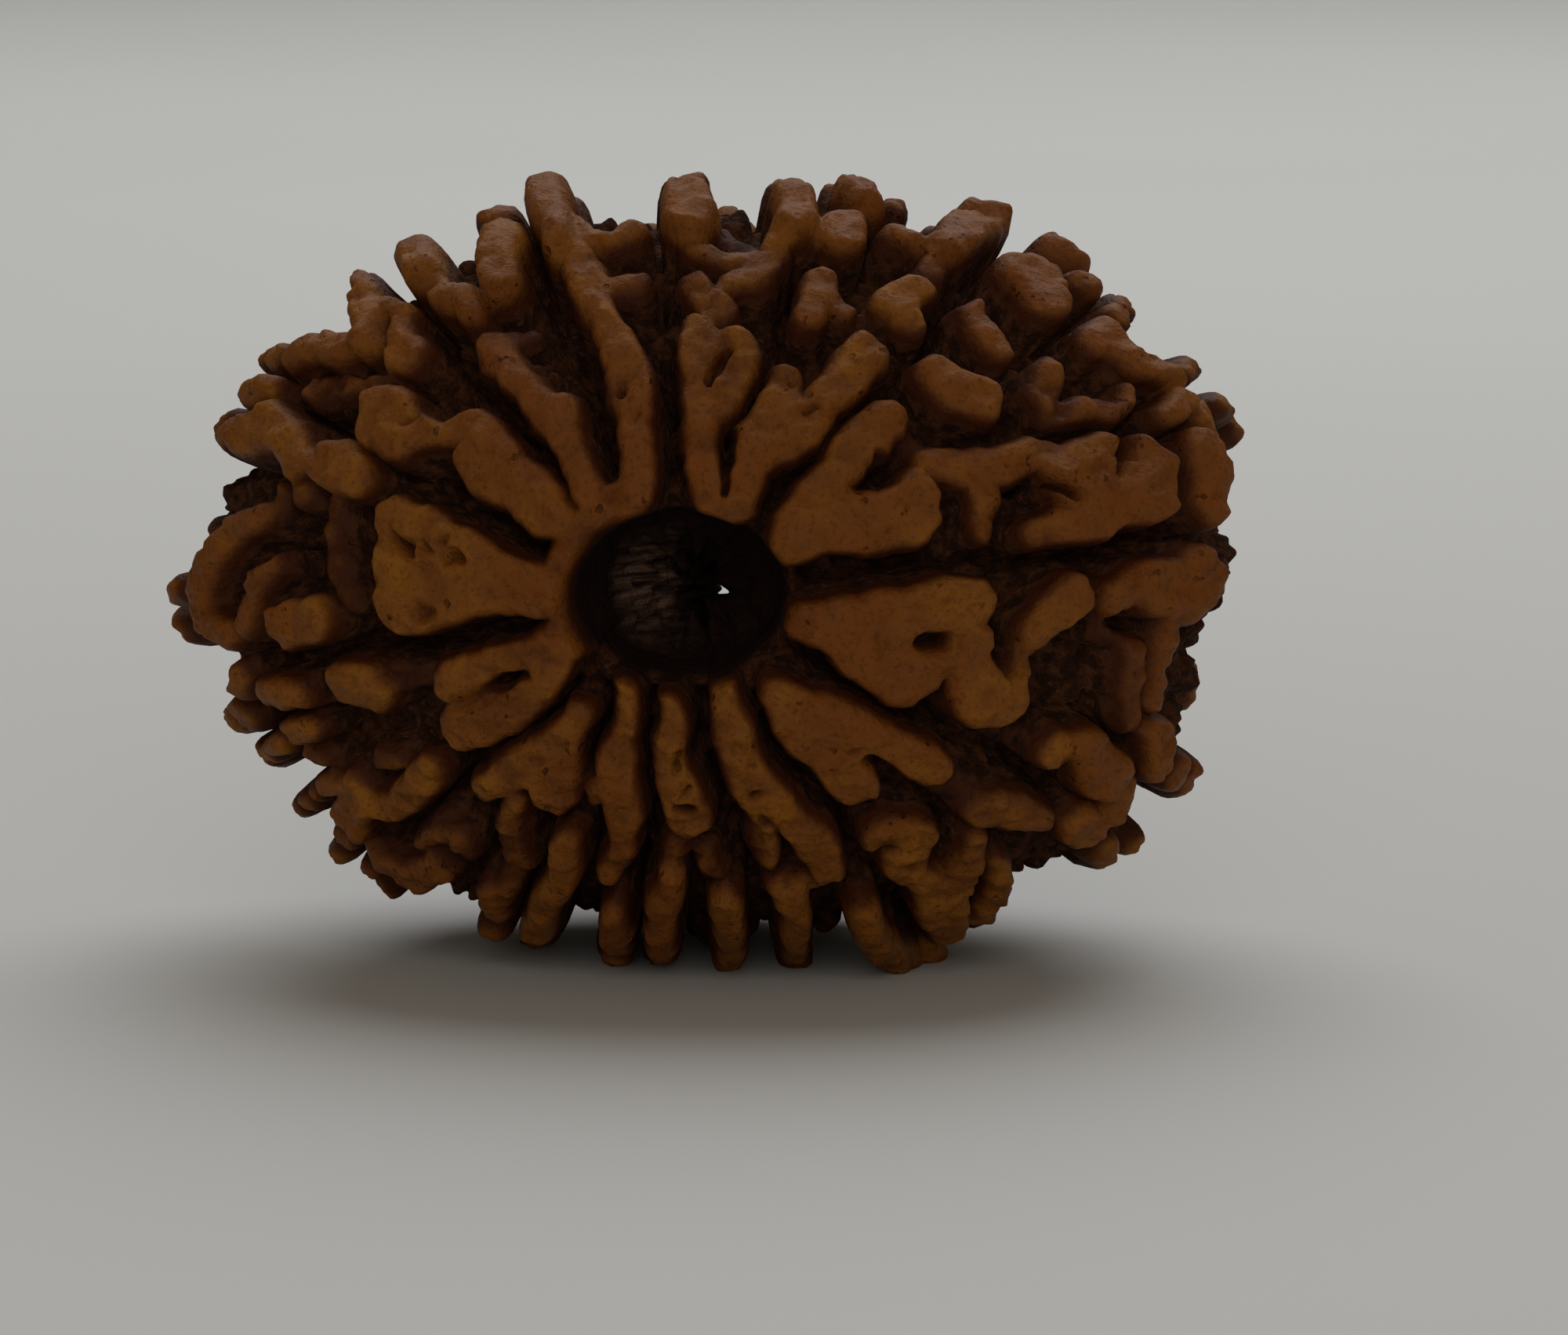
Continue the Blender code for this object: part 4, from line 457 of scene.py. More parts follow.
class NearFace:
    """The crests as they are seen from the eye, so that a ridge can be drawn on them."""

    def __init__(self):
        rows, steps = 90, 180
        colatitude = np.repeat(np.linspace(0.02, math.pi - 0.02, rows), steps)
        turn = np.tile(np.arange(steps) * 2.0 * math.pi / steps, rows)
        points = shell_points(colatitude, turn, 0.0)
        row, step = (i.ravel() for i in np.meshgrid(range(rows - 1), range(steps), indexing="ij"))
        here, after = row * steps + step, row * steps + (step + 1) % steps
        faces = np.stack([here, after, after + steps, here + steps], axis=-1)
        self.tree = BVHTree.FromPolygons(points.tolist(), faces.tolist())
        self.away = Vector(
            (
                math.sin(EYE_TURN) * math.cos(EYE_LIFT),
                -math.cos(EYE_TURN) * math.cos(EYE_LIFT),
                math.sin(EYE_LIFT),
            )
        )
        self.right = Vector((math.cos(EYE_TURN), math.sin(EYE_TURN), 0.0))
        self.up = self.away.cross(self.right)
        self.eye = self.away * EYE_DISTANCE

    def point(self, right, up):
        """The crest point seen this far right of and above the mouth's middle."""
        across = right - OUTLINE_MIDDLE[0]
        above = up - OUTLINE_MIDDLE[1]
        target = self.right * across + self.up * above
        place = self.tree.ray_cast(self.eye, target - self.eye)[0]
        return place or self.tree.find_nearest(target)[0]

    def stroke(self, marks):
        return [(*self.point(right, up), half) for right, up, half in marks]

    def further(self, mark, length):
        """The crest point this much further round from the eye."""
        place = Vector(mark[:3])
        normal = self.tree.find_nearest(place)[1]
        back = (normal * normal.dot(self.away) - self.away).normalized()
        return self.tree.find_nearest(place + back * length)[0]


def stroke_depth(points, stroke):
    """How far each point lies inside a stroke's edge. Outside it is negative."""
    depth = np.full(len(points), -1e3)
    marks = np.array(stroke)
    for start, end in zip(marks[:-1], marks[1:]):
        run = end[:3] - start[:3]
        along = np.clip((points - start[:3]) @ run / max(run @ run, 1e-9), 0.0, 1.0)
        gap = np.linalg.norm(points - start[:3] - along[:, None] * run, axis=1)
        depth = np.maximum(depth, start[3] + (end[3] - start[3]) * along - gap)
    return depth


def near_stroke(points, stroke):
    marks = np.array(stroke)
    reach = marks[:, 3].max() + 2 * SKIRT + WELD
    low = marks[:, :3].min(axis=0) - reach
    high = marks[:, :3].max(axis=0) + reach
    return np.flatnonzero(((points > low) & (points < high)).all(axis=1))


def raise_ridge(height, points, top, stroke):
    """Adds one ridge to the heights, welded into what is there already."""
    close = near_stroke(points, stroke)
    depth = stroke_depth(points[close], stroke)
    t = np.clip((depth + SKIRT) / (SHOULDER + SKIRT), 0.0, 1.0)
    new = top * (1.0 - (1.0 - t) ** STEEPNESS) ** (1 / STEEPNESS)
    old = height[close]
    blend = np.maximum(WELD - np.abs(new - old), 0.0) / WELD
    joined = np.maximum(new, old) + blend * blend * WELD * 0.25
    height[close] = np.where(new > 0.0, joined, old)


def sink(height, points, drop, stroke):
    """Takes a pit or a line out of the heights."""
    close = near_stroke(points, stroke)
    depth = stroke_depth(points[close], stroke)
    half = np.array(stroke)[:, 3].max()
    height[close] -= drop * smoothstep(-0.6 * half, 0.9 * half, depth)


def shell_point(colatitude, longitude):
    return shell_points(np.array(colatitude), np.array(longitude), 0.0)


class Growth:
    """The sides and the far face, grown by a rule in bands between the lines of the faces."""

    def __init__(self, face, lines, drawn):
        self.draw = random.Random(GROWTH_SEED)
        self.face = face
        self.drawn = drawn
        self.taken = np.array([mark for stroke in drawn for mark in self.beads(stroke)])
        self.screen = np.array([(*self.seen_at(mark), mark[3]) for mark in self.taken])
        ends = sorted(self.longitude_of(line[-1]) for line in lines)
        self.bands = len(ends)
        self.side = ends + [ends[0] + 2 * math.pi]
        first = ends[0] + FAR_TURN
        self.mouth = [first + 2 * math.pi * i / self.bands for i in range(self.bands + 1)]

    @staticmethod
    def longitude_of(mark):
        return math.atan2(mark[2] / HEIGHT, mark[0] / WIDTH)

    @staticmethod
    def beads(stroke):
        """The stroke as a row of close marks."""
        for start, end in zip(stroke[:-1], stroke[1:]):
            start, end = np.array(start), np.array(end)
            count = 1 + int(np.linalg.norm(end[:3] - start[:3]) / 0.4)
            for i in range(count + 1):
                yield start + (end - start) * i / count

    def facing(self, mark):
        """1 where the surface faces the eye, 0 at the outline, less beyond it."""
        normal = Vector((mark[0] / WIDTH**2, mark[1] / THICKNESS**2, mark[2] / HEIGHT**2))
        return normal.normalized().dot(self.face.away)

    def seen_at(self, mark):
        place = Vector(mark[:3])
        return place.dot(self.face.right), place.dot(self.face.up)

    def behind_a_ridge(self, mark):
        gap = np.hypot(*(self.screen[:, :2] - self.seen_at(mark)).T) - self.screen[:, 2]
        return gap.min() < -COVERED

    def hidden(self, stroke):
        return all(
            self.facing(mark) < OUT_OF_SIGHT
            or (self.facing(mark) < NEARLY_HIDDEN and self.behind_a_ridge(mark))
            for mark in stroke
        )

    def claim(self, stroke):
        """Takes the stroke's room if it is free."""
        for mark in self.beads(stroke):
            gap = np.linalg.norm(self.taken[:, :3] - mark[:3], axis=1) - self.taken[:, 3] - mark[3]
            if gap.min() < KNOB_GAP:
                return False
        self.take(stroke)
        return True

    def take(self, stroke):
        self.taken = np.concatenate([self.taken, list(self.beads(stroke))])

    def longitude(self, edge, colatitude):
        t = float(smoothstep(*EVEN_OUT, colatitude))
        return self.side[edge] + (self.mouth[edge] - self.side[edge]) * t

    def place(self, band, across, degrees):
        """A crest point in a band: across runs from -1 to 1 between its lines."""
        colatitude = math.radians(degrees)
        low = self.longitude(band, colatitude)
        high = self.longitude(band + 1, colatitude)
        return shell_point(colatitude, low + (high - low) * (across + 1) / 2)

    def half_width(self, band, degrees):
        span = self.place(band, 1, degrees) - self.place(band, -1, degrees)
        return float(np.linalg.norm(span)) / 2

    def lines(self):
        """The face lines carried on from the outline to the far mouth."""
        for edge in range(self.bands):
            marks = []
            for degrees in range(84, 172, 4):
                colatitude = math.radians(degrees)
                place = shell_point(colatitude, self.longitude(edge, colatitude))
                marks.append((*place, LINE_HALF))
            yield [mark for mark in marks if self.facing(mark) < 0.0]

    def over_the_edge(self):
        """Knobs in file behind the ridges that end at the outline."""
        draw = self.draw
        for stroke in self.drawn:
            mark = min(stroke, key=self.facing)
            widest = max(mark[3], 0.38) * 1.1
            half = widest
            while OUT_OF_SIGHT < self.facing(mark) < OVER_THE_EDGE:
                start = self.face.further(mark, half * 2 + draw.uniform(0.05, 0.4))
                end = self.face.further(start, draw.uniform(0.1, 0.8))
                half = widest * draw.uniform(0.8, 1.0)
                knob = [(*start, half), (*end, half * draw.uniform(0.75, 1.0))]
                if self.claim(knob):
                    yield draw.uniform(1.4, 1.6), knob
                mark = (*end, half)

    def lobe(self, band):
        """The lobe that starts at the far mouth: a fork, a plate with two corners or a ridge."""
        draw = self.draw
        form = draw.choice(("fork", "fork", "plate", "ridge"))
        lean = draw.uniform(-0.15, 0.15)

        def mark(across, degrees, share):
            degrees += draw.uniform(-1.2, 1.2)
            half = (self.half_width(band, degrees) - LOBE_MARGIN) * share
            return (*self.place(band, across, degrees), max(half, 0.22))

        if form == "fork":
            yield 1.5, [mark(0.0, 166, 0.9), mark(lean, 157, 0.85), mark(lean, 150, 0.80)]
            for side in (-1, 1):
                tip = draw.uniform(134, 141)
                arm = [mark(0.40 * side, 150, 0.42), mark(0.48 * side, 145, 0.36)]
                yield draw.uniform(1.4, 1.6), arm + [mark(0.55 * side, tip, 0.34)]
        elif form == "plate":
            end = draw.uniform(141, 146)
            yield 1.6, [mark(0.0, 166, 0.95), mark(lean, 156, 0.92), mark(lean, end + 3, 0.86)]
            for side in (-1, 1):
                corner = [mark(0.42 * side, end + 3, 0.48), mark(0.52 * side, end - 1, 0.42)]
                yield draw.uniform(1.5, 1.6), corner
        else:
            yield 1.5, [
                mark(0.0, 166, 0.85),
                mark(-lean, 156, 0.70),
                mark(lean * 2, 148, 0.55),
                mark(-lean * 2, 140, 0.50),
                mark(lean, 133, 0.42),
            ]
            side = 1 if lean < 0 else -1
            yield 1.4, [mark(0.2 * side, 147, 0.35), mark(0.66 * side, 142, 0.30)]

    def knobs(self, band):
        """Rows of knobs and short ridges from the lobe to the outline, some tied to each other."""
        draw = self.draw
        above = []
        for degrees in ROW_COLATITUDES:
            room = self.half_width(band, degrees) - BAND_MARGIN
            count = max(1, round(2 * room / KNOB_SPACING))
            here = []
            for slot in range(count * TRIES):
                i = slot % count
                across = ((2 * i + 1) / count - 1) * room / (room + BAND_MARGIN)
                across += draw.uniform(-0.5, 0.5) / count
                middle = degrees + draw.uniform(-4.5, 4.5)
                reach = draw.choice((0.4, 1.5, 3.0, 4.5))
                slant = draw.uniform(-0.6, 0.6) / count
                wide = min(max((room / count - 0.1) * draw.uniform(0.75, 1.1), 0.38), 0.74)
                start = (*self.place(band, across - slant, middle + reach), wide)
                place = self.place(band, across + slant, middle - reach)
                end = (*place, wide * draw.uniform(0.75, 1.0))
                stroke = [start, end]
                if not (self.hidden(stroke) and self.claim(stroke)):
                    continue
                yield draw.uniform(1.5, 1.95), stroke
                here.append((start, end))
                for other in above:
                    if math.dist(start[:3], other[:3]) < TIE_REACH and draw.random() < 0.5:
                        yield draw.uniform(0.9, 1.3), [(*other[:3], 0.3), (*start[:3], 0.3)]
            above = [end for start, end in here]

    def small_knobs(self):
        """Small knobs wherever there is still room."""
        draw = self.draw
        for _ in range(SMALL_KNOBS):
            band = draw.randrange(self.bands)
            middle = draw.uniform(66.0, 140.0)
            across = draw.uniform(-0.75, 0.75)
            start = (*self.place(band, across, middle), 0.36)
            across += draw.uniform(-0.1, 0.1)
            middle += draw.uniform(0.5, 3.0)
            knob = [start, (*self.place(band, across, middle), 0.34)]
            if self.facing(start) > NEARLY_HIDDEN or not self.claim(knob):
                continue
            yield draw.uniform(1.2, 1.7) if self.hidden(knob) else LOW_KNOB, knob

    def ridges(self):
        yield from self.over_the_edge()
        for band in range(self.bands):
            for top, stroke in self.lobe(band):
                self.take(stroke)
                yield top, stroke
        for band in range(self.bands):
            yield from self.knobs(band)
        yield from self.small_knobs()


def relief(crest):
    """The height of the surface over the valleys at each crest point."""
    face = NearFace()
    lines = [face.stroke([(*mark, LINE_HALF) for mark in line]) for line in FACE_LINES]
    drawn = [
        (top, face.stroke([(right, up, half + FULLER) for right, up, half in marks]))
        for group in FACE_RIDGES.values()
        for top, marks in group
    ]
    growth = Growth(face, lines, [stroke for top, stroke in drawn])
    long, short = SWAY_LENGTHS
    sway = np.stack([ripple(crest, long, seed) for seed in (1, 2, 3)], axis=-1)
    sway += 0.5 * np.stack([ripple(crest, short, seed) for seed in (11, 12, 13)], axis=-1)
    points = crest + SWAY * sway
    height = VALLEY_WAVES[0] * ripple(crest, VALLEY_WAVES[1], 4)
    for line in (*lines, *growth.lines()):
        sink(height, points, LINE_DEPTH, line)
    for top, stroke in (*drawn, *growth.ridges()):
        raise_ridge(height, points, top * RELIEF / FULL_HEIGHT, stroke)
    for drop, marks in FACE_PITS:
        sink(height, points, drop, face.stroke(marks))
    return height + SLOW_WAVES[0] * ripple(crest, SLOW_WAVES[1], 5)


# The mesh: a ring of squares is made finer, laid on the bead and thinned
RING = (256, 192)  # steps round the bore, and round a section
FINER = 2  # how many times each square is cut in four
TRIANGLES = 194000

# The fine forms, in millimetres: the dried pulp in the valleys and the brushed tops of the ridges
PULP_GRAIN = (0.11, 0.50)  # height, and length from grain to grain
PULP_CLUMPS = (0.13, 1.3)
TOP_WAVES = (0.055, 0.95)
TOP_LUMPS = (0.040, 0.42)
TOP = (0.40 * RELIEF, 0.75 * RELIEF)  # the heights between which pulp gives way to a brushed top
BORE_FIBRES = (0.26, 0.55)  # how high they lie on the wall, and how far from one to the next
RIM = 0.30  # how far in from its edge a ridge is painted darker, as painted shade
BORE_TO_BORE = 38.0  # the length of a section, from face to face and back through the bore


def ring_of_squares():
    """A ring of fine squares. Its points have two bearings: round the bore and round a section."""
    bpy.ops.object.select_all(action="DESELECT")
    bpy.ops.mesh.primitive_torus_add(
        major_segments=RING[0],
        minor_segments=RING[1],
        major_radius=1.0,
        minor_radius=0.4,
        generate_uvs=False,
    )
    ring = bpy.context.object
    ring.name = "bead_stone"
    finer = ring.modifiers.new("finer", "SUBSURF")
    finer.subdivision_type = "SIMPLE"
    finer.levels = finer.render_levels = FINER
    bpy.ops.object.modifier_apply(modifier=finer.name)
    return ring


def fine_forms(crest, height):
    """The grain of the pulp that is left in the valleys, and low waves on the tops."""
    top = smoothstep(*TOP, height)
    grain = PULP_GRAIN[0] * ripple(crest, PULP_GRAIN[1], 6, waves=14)
    clumps = PULP_CLUMPS[0] * ripple(crest, PULP_CLUMPS[1], 7, waves=10)
    waves = TOP_WAVES[0] * ripple(crest, TOP_WAVES[1], 8, waves=10)
    lumps = TOP_LUMPS[0] * ripple(crest, TOP_LUMPS[1], 9, waves=14)
    return (grain + clumps) * (1.0 - top) + (waves + lumps) * top


def near_average(height, turn, section, radius):
    """Each point's height averaged over a rim's breadth round it: it is less at a ridge's edge."""
    steps = [count * 2**FINER for count in RING]
    places = tuple(
        np.round(angle / (2 * math.pi) * count).astype(int) % count
        for angle, count in zip((turn, section), steps)
    )
    heights, radii = np.empty(steps), np.empty(steps)
    heights[places], radii[places] = height, radius
    reach = round(RIM / BORE_TO_BORE * steps[1])
    heights = sum(np.roll(heights, k, axis=1) for k in range(-reach, reach + 1)) / (2 * reach + 1)
    reaches = np.round(RIM * steps[0] / (2 * math.pi * radii.mean(axis=0))).astype(int)
    for reach in np.unique(reaches):
        rows = heights[:, reaches == reach]
        total = sum(np.roll(rows, k, axis=0) for k in range(-reach, reach + 1))
        heights[:, reaches == reach] = total / (2 * reach + 1)
    return heights[places]


def lay_on_bead(ring):
    """Lays each point of the ring on the bead, and keeps what the finish asks about its place."""
    mesh = ring.data
    points = np.empty(3 * len(mesh.vertices))
    mesh.vertices.foreach_get("co", points)
    x, y, z = points.reshape(-1, 3).T
    turn = np.arctan2(y, x)
    section = np.arctan2(z, np.hypot(x, y) - 1.0)
    valley, crest, rise, keep = body_points(turn, section)
    height = relief(crest)
    height += fine_forms(crest, height)
    bore = 1.0 - smoothstep(0.02, 0.20, keep)
    uneven = ripple(valley * (1.0, 0.25, 1.0), BORE_FIBRES[1], 10, waves=12)
    fibres = BORE_FIBRES[0] * bore * (1.0 + uneven)
    places = valley + rise * (height * keep + fibres)[:, None]
    places += (-BOX_MIDDLE[0], -BOX_MIDDLE[1], FOOT_DROP)
    places[:, 2] = np.maximum(places[:, 2], 0.0)
    mesh.vertices.foreach_set("co", (places * MM).ravel())
    shares = {
        "relief": height * keep / RELIEF,
        "inset": near_average(height / RELIEF, turn, section, np.hypot(crest[:, 0], crest[:, 2])),
        # the bore's -X wall only, the side that the light reaches: the mask of the painted light on
        # the bore's fibres
        "bore": bore * ((1.0 - np.cos(turn)) / 2) ** 4,
        "mouth": 1.0 - keep,
    }
    for name, share in shares.items():
        mesh.attributes.new(name, "FLOAT", "POINT").data.foreach_set("value", share)
    mesh.update()


def thin(stone):
    thinner = stone.modifiers.new("thinner", "DECIMATE")
    thinner.ratio = TRIANGLES / (2 * len(stone.data.polygons))
    bpy.ops.object.modifier_apply(modifier=thinner.name)


def fit_to_solid(stone):
    """Draws the finished shape into the box of the solid, which it fills but for a hair."""
    low, high = (np.array(corner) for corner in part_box("bead"))
    points = np.empty(3 * len(stone.data.vertices))
    stone.data.vertices.foreach_get("co", points)
    points = points.reshape(-1, 3)
    lowest, highest = points.min(axis=0), points.max(axis=0)
    points = low + (points - lowest) * (high - low) / (highest - lowest)
    stone.data.vertices.foreach_set("co", points.ravel())
    stone.data.update()


class Wire:
    """A socket of a material. Sums on it add Math nodes, and add() makes any other node."""

    def __init__(self, tree, socket=None):
        self.tree = tree
        self.socket = socket

    def add(self, kind, settings, sockets, output=0):
        """A node of this kind, its settings set first, then its sockets' values or wires."""
        node = self.tree.nodes.new("ShaderNode" + kind)
        for name, value in settings.items():
            setattr(node, name, value)
        inputs = {socket.identifier: socket for socket in node.inputs}
        for name, value in sockets.items():
            if isinstance(value, Wire):
                self.tree.links.new(value.socket, inputs[name])
            else:
                inputs[name].default_value = value
        return Wire(self.tree, node.outputs[output])

    def sum_of(self, operation, first, second):
        return self.add("Math", {"operation": operation}, {"Value": first, "Value_001": second})

    def __add__(self, other):
        return self.sum_of("ADD", self, other)

    def __sub__(self, other):
        return self.sum_of("SUBTRACT", self, other)

    def __mul__(self, other):
        return self.sum_of("MULTIPLY", self, other)

    def __rsub__(self, other):
        return self.sum_of("SUBTRACT", other, self)

    __radd__ = __add__
    __rmul__ = __mul__

    def ramp(self, low, high):
        """0 where the value is under low, 1 where it is over high, and smooth between."""
        limits = {"Value": self, "From Min": low, "From Max": high}
        return self.add("MapRange", {"interpolation_type": "SMOOTHSTEP"}, limits)

    def mix(self, first, second):
        """The first colour where this wire is 0, the second where it is 1."""
        colours = {"Factor_Float": self, "A_Color": first, "B_Color": second}
        return self.add("Mix", {"data_type": "RGBA"}, colours, output=2)


def noise(place, per_mm, detail=2.0, rough=0.5):
    """A cloudy value round 0.5 that changes over space this many times a millimetre."""
    sockets = {"Vector": place, "Scale": per_mm, "Detail": detail, "Roughness": rough}
    return place.add("TexNoise", {}, sockets)


# The colours of the stone: its ridges from their rims to their middles, with painted shade on their
# rims and flanks, what marks them, the dried pulp in the valleys, the black of the mouth and bore,
# which is painted shade, and the bore's fibres, painted pale on one side as painted light
RED_BROWN = (0.190, 0.055, 0.007, 1.0)
YELLOW_BROWN = (0.260, 0.097, 0.010, 1.0)
DULL_BROWN = (0.170, 0.055, 0.009, 1.0)
# painted shade for the ridges' rims and for their flanks
PAINTED_RIM_SHADE = (0.068, 0.017, 0.003, 1.0)
PAINTED_FLANK_SHADE = (0.050, 0.012, 0.003, 1.0)
STAIN_BROWN = (0.105, 0.026, 0.004, 1.0)
PORE_BROWN = (0.030, 0.008, 0.002, 1.0)
PULP_BROWN = (0.078, 0.027, 0.010, 1.0)
PULP_BLACK = (0.024, 0.009, 0.004, 1.0)
CRUMB_BROWN = (0.080, 0.032, 0.020, 1.0)
# painted shade for the mouth and bore, and the fibres' colour with painted light for one side of
# the bore
PAINTED_MOUTH_SHADE = (0.015, 0.006, 0.004, 1.0)
FIBRE_WITH_PAINTED_LIGHT = (0.300, 0.175, 0.115, 1.0)

BUMP = 0.12  # how deep the finest bumps are, in millimetres
DRY = 0.90  # the roughness of the pulp
OILED = 0.56  # the roughness of the ridges
OIL_UNEVEN = 0.16  # how much that changes from place to place
SHINE = 0.10  # the specular level of the whole stone, where 0.5 is usual


def stone_finish():
    """Oiled brown ridges over dark dried pulp, with painted shade on the ridges' rims and flanks,
    black painted shade in the mouth and bore, and painted light on one side of the bore's wall.
    """
    material = bpy.data.materials.new("oiled stone over dark pulp")
    material.use_nodes = True
    tree = material.node_tree
    shader = tree.nodes["Principled BSDF"]
    start = Wire(tree)
    where = start.add("TexCoord", {}, {}, output=3)
    place = where.add("VectorMath", {"operation": "SCALE"}, {"Vector": where, "Scale": 1 / MM})
    height, inset, mouth, bore = (
        start.add("Attribute", {"attribute_name": name}, {}, output=2)
        for name in ("relief", "inset", "mouth", "bore")
    )
    cloud = noise(place, 0.20, detail=2.0)
    stain = noise(place, 0.55, detail=5.0, rough=0.7)
    mottle = noise(place, 1.1, detail=4.0, rough=0.6)
    pulp = noise(place, 2.6, detail=4.0, rough=0.65)
    speck = noise(place, 3.4, detail=1.0)
    crumb = noise(place, 4.2, detail=1.0)
    grain = noise(place, 6.5, detail=3.0, rough=0.6)

    # The ridges: two browns in wide clouds, dull or stained in places, and painted shade that
    # darkens their rims and flanks
    brown = cloud.ramp(0.38, 0.62).mix(RED_BROWN, YELLOW_BROWN)
    brown = mottle.ramp(0.35, 0.70).mix(DULL_BROWN, brown)
    brown = (stain.ramp(0.54, 0.66) * 0.65).mix(brown, STAIN_BROWN)
    inner = inset + (mottle - 0.5) * 0.25
    # painted shade: each ridge is darkened towards its rims
    brown = inner.ramp(0.44, 0.84).mix(PAINTED_RIM_SHADE, brown)
    flank = height + (mottle - 0.5) * 0.30
    # painted shade: the lower flanks of the ridges are darkened
    brown = flank.ramp(0.66, 0.98).mix(PAINTED_FLANK_SHADE, brown)
    brown = (grain.ramp(0.30, 0.50) * 0.35 + 0.65).mix(PORE_BROWN, brown)

    # The pulp in the valleys, with paler crumbs, reaching part way up the ridges' flanks as painted
    # shade, and the ridges with their pores over it
    dark = pulp.ramp(0.40, 0.66).mix(PULP_BLACK, PULP_BROWN)
    dark = (crumb.ramp(0.60, 0.72) * stain.ramp(0.35, 0.60)).mix(dark, CRUMB_BROWN)
    edge = height + (pulp - 0.5) * 0.22 + (grain - 0.5) * 0.10
    top = edge.ramp(0.44, 0.74)
    colour = top.mix(dark, brown)
    pores = speck.ramp(0.66, 0.74) * stain.ramp(0.48, 0.60) * top * 0.7
    colour = pores.mix(colour, PORE_BROWN)

    # The mouth and bore painted black all round as painted shade, and dry fibre streaks on the
    # bore's wall, painted pale only on the one side that the light reaches, as painted light
    # painted shade: the mouth and the way down the bore are painted near black
    colour = mouth.ramp(0.10, 0.50).mix(colour, PAINTED_MOUTH_SHADE)
    across = {"Vector": place, "Vector_001": (0.6, 0.6, 5.0)}
    fibre = noise(place.add("VectorMath", {"operation": "MULTIPLY"}, across), 1.3, detail=3.0)
    # painted light: pale fibre streaks only on the bore's -X wall, the side the light reaches;
    # elsewhere the bore stays black as painted shade
    colour = bore.mix(colour, fibre.ramp(0.30, 0.70).mix(PAINTED_MOUTH_SHADE, FIBRE_WITH_PAINTED_LIGHT))
    tree.links.new(colour.socket, shader.inputs["Base Color"])

    # The oil shines on the ridges and not on the pulp, and both have a fine grain
    gloss = DRY + top * ((OILED - DRY) + OIL_UNEVEN * (mottle - 0.5))
    tree.links.new(gloss.socket, shader.inputs["Roughness"])
    rough = grain * 0.45 + pulp * (1 - top) * 1.8 + mottle * top * 0.9 - pores * 0.8
    normal = rough.add("Bump", {}, {"Height": rough, "Distance": BUMP * MM, "Strength": 1.0})
    tree.links.new(normal.socket, shader.inputs["Normal"])
    shader.inputs["Specular IOR Level"].default_value = SHINE
    return material


stone = ring_of_squares()
lay_on_bead(stone)
thin(stone)
fit_to_solid(stone)
bpy.ops.object.shade_smooth()
stone.data.materials.clear()
stone.data.materials.append(stone_finish())
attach(stone, "root")
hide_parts("bead")

# The table: one sheet of pale grey paper, matt and a little uneven in tone. It lies flat under the
# bead and rises behind it in a wide sweep, so that no edge shows.

PAPER_WIDTH = 1.6  # these are in metres
PAPER_BEHIND = 0.90  # how far it runs behind the bead
PAPER_FRONT = 0.7  # and in front of it
PAPER_RISE = 0.9  # and how high it rises
PAPER_SWEEP = 0.25  # how far from its fold the paper starts to curve
PAPER_GREY = (0.60, 0.605, 0.60, 1.0)
PAPER_CLOUDS = 9.0  # to the metre
PALER = 1.03  # how much paler the paper is in a cloud
HAIR = 0.001  # how exactly an edge of the paper has to lie in its place


def select_edges(paper, is_there):
    """Selects the edges whose two ends are both there."""
    points = paper.data.vertices
    for edge in paper.data.edges:
        edge.select = all(is_there(points[i].co) for i in edge.vertices)


def sheet_of_paper():
    bpy.ops.object.select_all(action="DESELECT")
    middle = (PAPER_BEHIND - PAPER_FRONT) / 2
    bpy.ops.mesh.primitive_plane_add(size=1.0, location=(0.0, middle, 0.0))
    paper = bpy.context.object
    paper.name = "paper_sheet"
    paper.dimensions = (PAPER_WIDTH, PAPER_BEHIND + PAPER_FRONT, 0.0)
    bpy.ops.object.transform_apply(location=True, rotation=True, scale=True)
    bpy.ops.object.mode_set(mode="EDIT")
    bpy.ops.mesh.select_all(action="DESELECT")
    bpy.ops.mesh.select_mode(type="EDGE")
    bpy.ops.object.mode_set(mode="OBJECT")
    select_edges(paper, lambda point: point.y > PAPER_BEHIND - HAIR)
    bpy.ops.object.mode_set(mode="EDIT")
    bpy.ops.mesh.extrude_region_move(TRANSFORM_OT_translate={"value": (0.0, 0.0, PAPER_RISE)})
    bpy.ops.mesh.select_all(action="DESELECT")
    bpy.ops.object.mode_set(mode="OBJECT")
    select_edges(paper, lambda point: point.y > PAPER_BEHIND - HAIR and point.z < HAIR)
    bpy.ops.object.mode_set(mode="EDIT")
    bpy.ops.mesh.bevel(offset=PAPER_SWEEP, segments=32)
    bpy.ops.object.mode_set(mode="OBJECT")
    bpy.ops.object.shade_smooth()
    return paper


def paper_finish():
    material = bpy.data.materials.new("pale grey paper")
    material.use_nodes = True
    tree = material.node_tree
    shader = tree.nodes["Principled BSDF"]
    where = Wire(tree).add("TexCoord", {}, {}, output=3)
    cloud = noise(where, PAPER_CLOUDS)
    paler = tuple(min(1.0, value * PALER) for value in PAPER_GREY)
    colour = cloud.ramp(0.3, 0.7).mix(PAPER_GREY, paler)
    tree.links.new(colour.socket, shader.inputs["Base Color"])
    shader.inputs["Roughness"].default_value = 0.75
    shader.inputs["Specular IOR Level"].default_value = 0.2
    return material


paper = sheet_of_paper()
paper.data.materials.append(paper_finish())

# The light: a soft round lamp hangs over the table, a little behind the bead, and a weaker, warmer
# one stands in front of it. A pale, warm room gives the rest.

